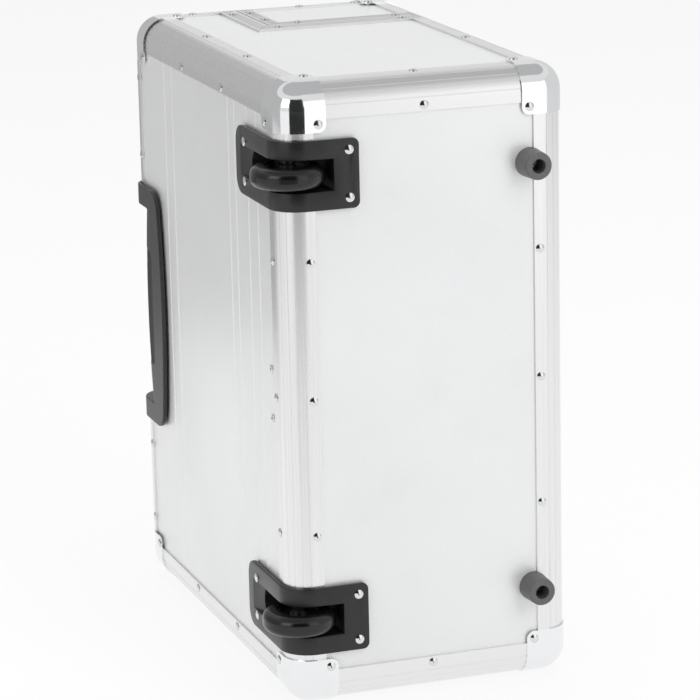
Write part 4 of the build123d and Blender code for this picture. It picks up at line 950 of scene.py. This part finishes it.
@dataclass
class SeamGasket:
    """Black strip that closes the gap between the body's and the lid's rims."""

    finishes: Finishes
    outer: float = 1.0 * MM
    inner: float = 3.8 * MM
    steps: int = 10

    def at(self, level: bool, along: float, up: float) -> Vector:
        """A point of the strip's path.

        Args:
            level: whether the strip lies across Y, and otherwise across X.
            along: how far along the strip, in the part's own X or Y.
            up: its height.

        Returns:
            The point.
        """
        return Vector((along, SEAM_Y, up)) if level else Vector((SEAM_X, along, up))

    def section(self, shape: bmesh.types.BMesh, level: bool) -> None:
        """Draws the strip's section where it starts, at the low end.

        Args:
            shape: the mesh to build in.
            level: whether the strip lies across Y, and otherwise across X.
        """
        start = SEAM_X if level else SEAM_Y
        bmesh.ops.create_grid(shape, x_segments=1, y_segments=1, size=0.5)
        wide = Matrix.Diagonal((SEAM_GAP, self.inner - self.outer, 1.0, 1.0))
        turn = Matrix.Rotation(math.radians(90), 4, "X")
        if level:
            turn = Matrix.Rotation(math.radians(90), 4, "Z") @ turn
        middle = self.at(level, start, LOW_Z + (self.outer + self.inner) / 2)
        middle += Vector((0, SEAM_GAP / 2, 0)) if level else Vector((SEAM_GAP / 2, 0, 0))
        bmesh.ops.transform(shape, matrix=Matrix.Translation(middle) @ turn @ wide,
                            verts=shape.verts)

    def extend(self, shape: bmesh.types.BMesh, end: list[bmesh.types.BMFace],
               way: Vector) -> list[bmesh.types.BMFace]:
        """Runs the strip straight on.

        Args:
            shape: the mesh to build in.
            end: the face that the strip ends in.
            way: how far it goes.

        Returns:
            The face that it ends in now.
        """
        made = bmesh.ops.extrude_face_region(shape, geom=end)
        moved = [part for part in made["geom"] if isinstance(part, bmesh.types.BMVert)]
        bmesh.ops.translate(shape, verts=moved, vec=way)
        return [part for part in made["geom"] if isinstance(part, bmesh.types.BMFace)]

    def turn(self, shape: bmesh.types.BMesh, end: list[bmesh.types.BMFace], centre: Vector,
             level: bool) -> list[bmesh.types.BMFace]:
        """Turns the strip a quarter round, over an edge of the case.

        Args:
            shape: the mesh to build in.
            end: the face that the strip ends in.
            centre: the centre of the turn.
            level: whether the strip lies across Y, and otherwise across X.

        Returns:
            The face that it ends in now.
        """
        axis = (0, -1, 0) if level else (1, 0, 0)
        made = bmesh.ops.spin(shape, geom=end, cent=centre, axis=axis, angle=math.radians(90),
                              steps=self.steps, use_duplicate=False)
        return [part for part in made["geom_last"] if isinstance(part, bmesh.types.BMFace)]

    def run_round(self, shape: bmesh.types.BMesh, level: bool) -> None:
        """Sweeps the section along one end, round both end edges and along the other end.

        Args:
            shape: the mesh to build in.
            level: whether the strip lies across Y, and otherwise across X.
        """
        start = SEAM_X if level else SEAM_Y
        bend = (FRONT_X if level else TOP_Y) - EDGE_ROUND
        out = self.at(level, bend, 0) - self.at(level, start, 0)
        self.section(shape, level)
        end = self.extend(shape, list(shape.faces), out)
        end = self.turn(shape, end, self.at(level, bend, LOW_Z + EDGE_ROUND), level)
        end = self.extend(shape, end, Vector((0, 0, HIGH_Z - LOW_Z - 2 * EDGE_ROUND)))
        end = self.turn(shape, end, self.at(level, bend, HIGH_Z - EDGE_ROUND), level)
        self.extend(shape, end, -out)

    def build(self) -> None:
        """Makes both strips of the gasket."""
        for level, name in ((True, "seam_gasket_level"), (False, "seam_gasket_upright")):
            shape = bmesh.new()
            self.run_round(shape, level)
            inner = [face for face in shape.faces
                     if all(len(edge.link_faces) > 2 for edge in face.edges)]
            bmesh.ops.delete(shape, geom=inner, context="FACES_ONLY")
            bmesh.ops.recalc_face_normals(shape, faces=shape.faces)
            piece = settle(shape, name, self.finishes.get("gasket"), "body")


@dataclass
class CrossHeadScrews:
    """Cross-recessed screws in the feet and at the base bracket."""

    finishes: Finishes
    foot_x: float = 88.05 * MM
    foot_seat: float = BASE_Y + (1.5 - 4.0) * MM
    foot_up: float = 167.0 * MM
    foot_radius: float = 4.4 * MM
    foot_rise: float = 2.6 * MM
    back_seat: float = BACK_X + 1.5 * MM
    back_y: float = BASE_Y + 35.5 * MM
    back_up: float = 19.2 * MM
    back_radius: float = 3.4 * MM
    back_rise: float = 1.2 * MM
    taper: float = 0.94
    rounding: float = 0.45
    cross_length: float = 1.15
    cross_width: float = 0.24
    cross_depth: float = 0.9
    cross_height: float = 0.95
    first_turn: float = 20.0
    next_turn: float = 31.0

    def head(self, radius: float, rise: float) -> bmesh.types.BMesh:
        """A domed screw head on the XY plane, facing +Z, with a cross recess.

        Args:
            radius: of the head.
            rise: its height.

        Returns:
            The head.
        """
        shape = bmesh.new()
        bmesh.ops.create_cone(shape, cap_ends=True, segments=32, radius1=radius,
                              radius2=radius * self.taper, depth=rise)
        bmesh.ops.translate(shape, verts=shape.verts, vec=(0, 0, rise / 2))
        top = [face for face in shape.faces if face.normal.z > 0.9]
        rim = [edge for face in top for edge in face.edges]
        bmesh.ops.bevel(shape, geom=rim, offset=rise * self.rounding, offset_type="OFFSET",
                        segments=4, profile=0.5, affect="EDGES", material=-1)
        cutter = bmesh.new()
        sizes = Matrix.Diagonal((radius * self.cross_length, radius * self.cross_width,
                                 rise * self.cross_depth, 1.0))
        for turn in (0.0, 90.0):
            made = bmesh.ops.create_cube(cutter, size=1.0)
            place = (Matrix.Translation((0, 0, rise * self.cross_height))
                     @ Matrix.Rotation(math.radians(turn), 4, "Z"))
            bmesh.ops.transform(cutter, matrix=place @ sizes, verts=made["verts"])
        return self.carve(shape, cutter)

    def carve(self, shape: bmesh.types.BMesh, cutter: bmesh.types.BMesh) -> bmesh.types.BMesh:
        """Takes one shape out of another.

        Args:
            shape: the shape that stays, which is freed.
            cutter: the shape taken out of it, which is freed.

        Returns:
            The carved shape.
        """
        head, recess = put_in_scene(shape, "head"), put_in_scene(cutter, "recess")
        cut = head.modifiers.new("recess", "BOOLEAN")
        cut.operation = "DIFFERENCE"
        cut.solver = "EXACT"
        cut.use_self = True
        cut.object = recess
        carved = worked_shape(head)
        for item in (head, recess):
            bpy.data.objects.remove(item)
        return carved

    def build(self) -> None:
        """Makes the four screws, in place of the model's plain ones."""
        everything = bmesh.new()
        seats = []
        for up in (self.foot_up, -self.foot_up):
            spot = Vector((self.foot_x, self.foot_seat, MID_Z + up))
            seats.append((spot, Vector((0, -1, 0)), self.foot_radius, self.foot_rise))
        for up in (self.back_up, -self.back_up):
            spot = Vector((self.back_seat, self.back_y, MID_Z + up))
            seats.append((spot, Vector((-1, 0, 0)), self.back_radius, self.back_rise))
        for count, (spot, out, radius, rise) in enumerate(seats):
            head = self.head(radius, rise)
            turn = out.to_track_quat("Z", "Y").to_matrix().to_4x4()
            angle = math.radians(self.first_turn + self.next_turn * count)
            place = Matrix.Translation(spot) @ turn @ Matrix.Rotation(angle, 4, "Z")
            bmesh.ops.transform(head, matrix=place, verts=head.verts)
            mesh = bpy.data.meshes.new("one_screw")
            head.to_mesh(mesh)
            head.free()
            everything.from_mesh(mesh)
        bmesh.ops.recalc_face_normals(everything, faces=everything.faces)
        piece = settle(everything, "cross_head_screws", self.finishes.get("rivet"), "body")
        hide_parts("body_screws")


@dataclass
class SoftenedMouldings:
    """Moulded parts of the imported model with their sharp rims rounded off."""

    finishes: Finishes
    nodes: dict[str, bpy.types.Object]
    housings: tuple[str, ...] = ("wheel_housing_upper", "wheel_housing_lower")
    bevel: float = 0.7 * MM
    bevel_steps: int = 3
    rim_angle: float = 40.0
    flat_angle: float = 0.6
    shortest_rim: float = 0.2 * MM
    grip_voxel: float = 0.75 * MM
    grip_rounds: int = 3
    grip_smoothing: float = 0.5
    grip_share: float = 0.35
    grip_crease: float = 50.0
    pocket_floor: float = TOP_Y - 14.0 * MM
    pocket_half: float = 26.0 * MM
    pocket_extra: float = 1.0 * MM
    pocket_slack: float = 0.1 * MM

    def copy_of(self, node: str) -> bmesh.types.BMesh:
        """A copy of a node's shape with its split corners joined.

        Args:
            node: the node's name.

        Returns:
            The shape.
        """
        shape = bmesh.new()
        shape.from_mesh(self.nodes[node].data)
        bmesh.ops.remove_doubles(shape, verts=shape.verts, dist=MERGE)
        return shape

    def soften(self, node: str) -> bmesh.types.BMesh:
        """A copy of a node with bevelled rims.

        Args:
            node: the node's name.

        Returns:
            The softened shape.
        """
        shape = self.copy_of(node)
        bmesh.ops.dissolve_limit(shape, angle_limit=math.radians(self.flat_angle),
                                 verts=shape.verts, edges=shape.edges)
        rims = [edge for edge in shape.edges
                if edge.is_manifold and edge.calc_face_angle(0.0) > math.radians(self.rim_angle)
                and edge.calc_length() > self.shortest_rim]
        bmesh.ops.bevel(shape, geom=rims, offset=self.bevel, offset_type="OFFSET",
                        segments=self.bevel_steps, profile=0.5, affect="EDGES", material=-1,
                        clamp_overlap=False)
        return shape

    def deepen(self, shape: bmesh.types.BMesh) -> None:
        """Lowers the floor of the button's pocket, so that its rounded corners clear the button.

        Args:
            shape: the grip, before it is rounded.
        """
        floor = [vert for vert in shape.verts
                 if abs(vert.co.y - self.pocket_floor) < self.pocket_slack / 2
                 and abs(vert.co.z - MID_Z) < self.pocket_half + self.pocket_slack]
        bmesh.ops.translate(shape, verts=floor, vec=(0.0, -self.pocket_extra, 0.0))
        LOG.info("button pocket: %d corners lowered", len(floor))

    def remould(self, shape: bmesh.types.BMesh) -> bmesh.types.BMesh:
        """Rounds a shape's corners all over, as a thick moulding's are.

        Args:
            shape: the shape, which is freed.

        Returns:
            The rounded shape.
        """
        item = put_in_scene(shape, "moulding")
        even = item.modifiers.new("even", "REMESH")
        even.mode = "VOXEL"
        even.voxel_size = self.grip_voxel
        rounded = item.modifiers.new("rounded", "SMOOTH")
        rounded.factor = self.grip_smoothing
        rounded.iterations = self.grip_rounds
        light = item.modifiers.new("light", "DECIMATE")
        light.ratio = self.grip_share
        result = worked_shape(item)
        bpy.data.objects.remove(item)
        return result

    def build(self) -> None:
        """Makes the softened copies."""
        for node in self.housings:
            piece = settle(self.soften(node), f"{node}_softened", self.finishes.get("housing"),
                           "body")
            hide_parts(node)
        shape = self.copy_of("trolley_grip")
        self.deepen(shape)
        grip = settle(self.remould(shape), "trolley_grip_rounded", self.finishes.get("grip"),
                      "trolley_inner", crease=self.grip_crease)
        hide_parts("trolley_grip")


def hang(shape: bmesh.types.BMesh, name: str, level: float) -> None:
    """Turns a shape into a plain screen that only glossy surfaces see.

    Args:
        shape: the screen's shape, which is freed.
        name: the screen's name.
        level: its brightness.
    """
    screen = put_in_scene(shape, name)
    material, wire = open_plain_material(name)
    glow = wire.node("Emission")
    glow.inputs["Color"].default_value = grey(level)
    wire.surface(glow.outputs[0])
    screen.data.materials.append(material)
    for way in ("camera", "diffuse", "transmission", "volume_scatter", "shadow"):
        setattr(screen, f"visible_{way}", False)


@dataclass(frozen=True)
class Flag:
    """A screen round the case that only its glossy surfaces see.

    Its turns are degrees from -X towards -Y, and the rest is in metres. It stands upright, or
    slopes or lies flat where its upper edge has a reach of its own.
    """

    name: str
    start: float
    end: float
    low: float
    high: float
    level: float
    reach: float = 2.0
    far: float = 0.0
    steps: int = 24

    def build(self) -> None:
        """Makes the screen."""
        shape = bmesh.new()
        turn = Matrix.Rotation(math.radians(self.start), 4, "Z")
        foot = turn @ Vector((-self.reach, 0.0, self.low))
        head = turn @ Vector((-(self.far or self.reach), 0.0, self.high))
        side = shape.edges.new([shape.verts.new(foot), shape.verts.new(head)])
        bmesh.ops.spin(shape, geom=[side, *side.verts], cent=(0, 0, 0), axis=(0, 0, 1),
                       steps=self.steps, angle=math.radians(self.end - self.start),
                       use_duplicate=False)
        hang(shape, self.name, self.level)


@dataclass(frozen=True)
class Lamp:
    """A square soft box aimed at the case, in metres and watts."""

    name: str
    spot: tuple[float, float, float]
    size: float
    power: float
    mirrored: bool = True
    target: tuple[float, float, float] = (0.0, 0.0, 0.25)

    def build(self) -> None:
        """Hangs the lamp."""
        data = bpy.data.lights.new(self.name, "AREA")
        data.shape = "SQUARE"
        data.size = self.size
        data.energy = self.power
        made = bpy.data.objects.new(self.name, data)
        made.location = self.spot
        aim = Vector(self.target) - Vector(self.spot)
        made.rotation_euler = aim.to_track_quat("-Z", "Y").to_euler()
        made.visible_glossy = self.mirrored
        bpy.context.scene.collection.objects.link(made)


@dataclass
class Studio:
    """Pale floor, lamps, flags, world and camera."""

    lens: float = 178.05
    sensor_width: float = 36.0
    clip_end: float = 50.0
    place: tuple[tuple[float, ...], ...] = (
        (0.9426291, 0.1018342, -0.3179310, -0.8802707),
        (-0.3331390, 0.2251667, -0.9155973, -2.5569042),
        (-0.0216517, 0.9689839, 0.2461737, 0.9158532),
        (0.0, 0.0, 0.0, 1.0),
    )
    lamps: tuple[Lamp, ...] = (
        Lamp("key_lamp", (1.3, -2.9, 2.1), 2.0, 50.0, mirrored=False),
        Lamp("fill_lamp", (-2.7, -1.6, 1.7), 1.8, 14.0),
        Lamp("top_lamp", (0.2, 0.3, 3.2), 2.6, 53.0, mirrored=False),
        Lamp("low_lamp", (-0.8, 0.1, 0.12), 0.4, 1.5, mirrored=False),
    )
    flags: tuple[Flag, ...] = (
        Flag("camera_side_flag", 48.0, 99.0, 0.0, 2.0, 0.03),
        Flag("right_side_card", 99.0, 130.0, 0.0, 1.5, 1.20),
        Flag("right_side_flag", 131.0, 240.0, 0.0, 2.1, 0.72, reach=2.4),
        Flag("far_side_flag", -95.0, 12.0, 0.0, 2.1, 0.50, reach=2.4),
        Flag("far_floor_flag", -95.0, -30.0, 0.003, 0.003, 0.42, reach=1.05, far=2.4),
    )
    ceiling_height: float = 2.9
    ceiling_radius: float = 1.9
    ceiling_level: float = 0.50
    floor_size: float = 12.0
    floor_tone: float = 0.88
    floor_glow: float = 0.86
    world_light: float = 0.42

    def camera(self) -> None:
        """Puts the camera where the photograph was taken from."""
        data = bpy.data.cameras.new("camera")
        data.lens = self.lens
        data.sensor_fit = "HORIZONTAL"
        data.sensor_width = self.sensor_width
        data.clip_end = self.clip_end
        made = bpy.data.objects.new("camera", data)
        made.matrix_world = Matrix(self.place)
        bpy.context.scene.collection.objects.link(made)
        bpy.context.scene.camera = made

    def light(self) -> None:
        """Hangs the lamps, all aimed at the case."""
        for lamp in self.lamps:
            lamp.build()

    def screen(self) -> None:
        """Stands the flags round the case and hangs one over it."""
        for flag in self.flags:
            flag.build()
        shape = bmesh.new()
        bmesh.ops.create_circle(shape, cap_ends=True, segments=48, radius=self.ceiling_radius)
        bmesh.ops.translate(shape, verts=shape.verts, vec=(0, 0, self.ceiling_height))
        hang(shape, "ceiling_flag", self.ceiling_level)

    def backdrop(self) -> None:
        """Lays the floor, matt for light and shadow and white where it is seen."""
        shape = bmesh.new()
        bmesh.ops.create_grid(shape, x_segments=1, y_segments=1, size=self.floor_size)
        floor = put_in_scene(shape, "floor")
        material, wire = open_plain_material("floor_white")
        matt = wire.node("BsdfDiffuse")
        matt.inputs["Color"].default_value = grey(self.floor_tone)
        glow = wire.node("Emission")
        glow.inputs["Strength"].default_value = 1.0
        mix = wire.node("MixShader")
        wire.join(wire.product(wire.seen_or_mirrored(), self.floor_glow), mix.inputs["Fac"])
        wire.join(matt.outputs[0], mix.inputs[1])
        wire.join(glow.outputs[0], mix.inputs[2])
        wire.surface(mix.outputs[0])
        floor.data.materials.append(material)

    def world(self) -> None:
        """Sets the world's light and what the camera and bright surfaces see of it."""
        world = bpy.data.worlds.new("studio_world")
        bpy.context.scene.world = world
        world.use_nodes = True
        wire = Wiring(world.node_tree)
        wire.tree.nodes.clear()
        soft = wire.node("Background")
        soft.inputs["Color"].default_value = grey(1.0)
        soft.inputs["Strength"].default_value = self.world_light
        white = wire.node("Background")
        white.inputs["Strength"].default_value = 1.0
        mix = wire.node("MixShader")
        wire.join(wire.seen_or_mirrored(), mix.inputs["Fac"])
        wire.join(soft.outputs[0], mix.inputs[1])
        wire.join(white.outputs[0], mix.inputs[2])
        wire.surface(mix.outputs[0], kind="OutputWorld")

    def build(self) -> None:
        """Sets up the whole studio."""
        self.camera()
        self.light()
        self.screen()
        self.backdrop()
        self.world()
        bpy.context.scene.view_settings.view_transform = "Standard"


def main() -> None:
    """Builds the case's looks in order."""
    logging.basicConfig(level=logging.INFO, format="%(message)s")
    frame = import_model()
    finishes = Finishes()
    Studio().build()
    CadDress(finishes, frame["nodes"]).dress()
    SeamGasket(finishes).build()
    CrossHeadScrews(finishes).build()
    SoftenedMouldings(finishes, frame["nodes"]).build()
    bpy.context.view_layer.update()


if __name__ == "__main__":
    main()
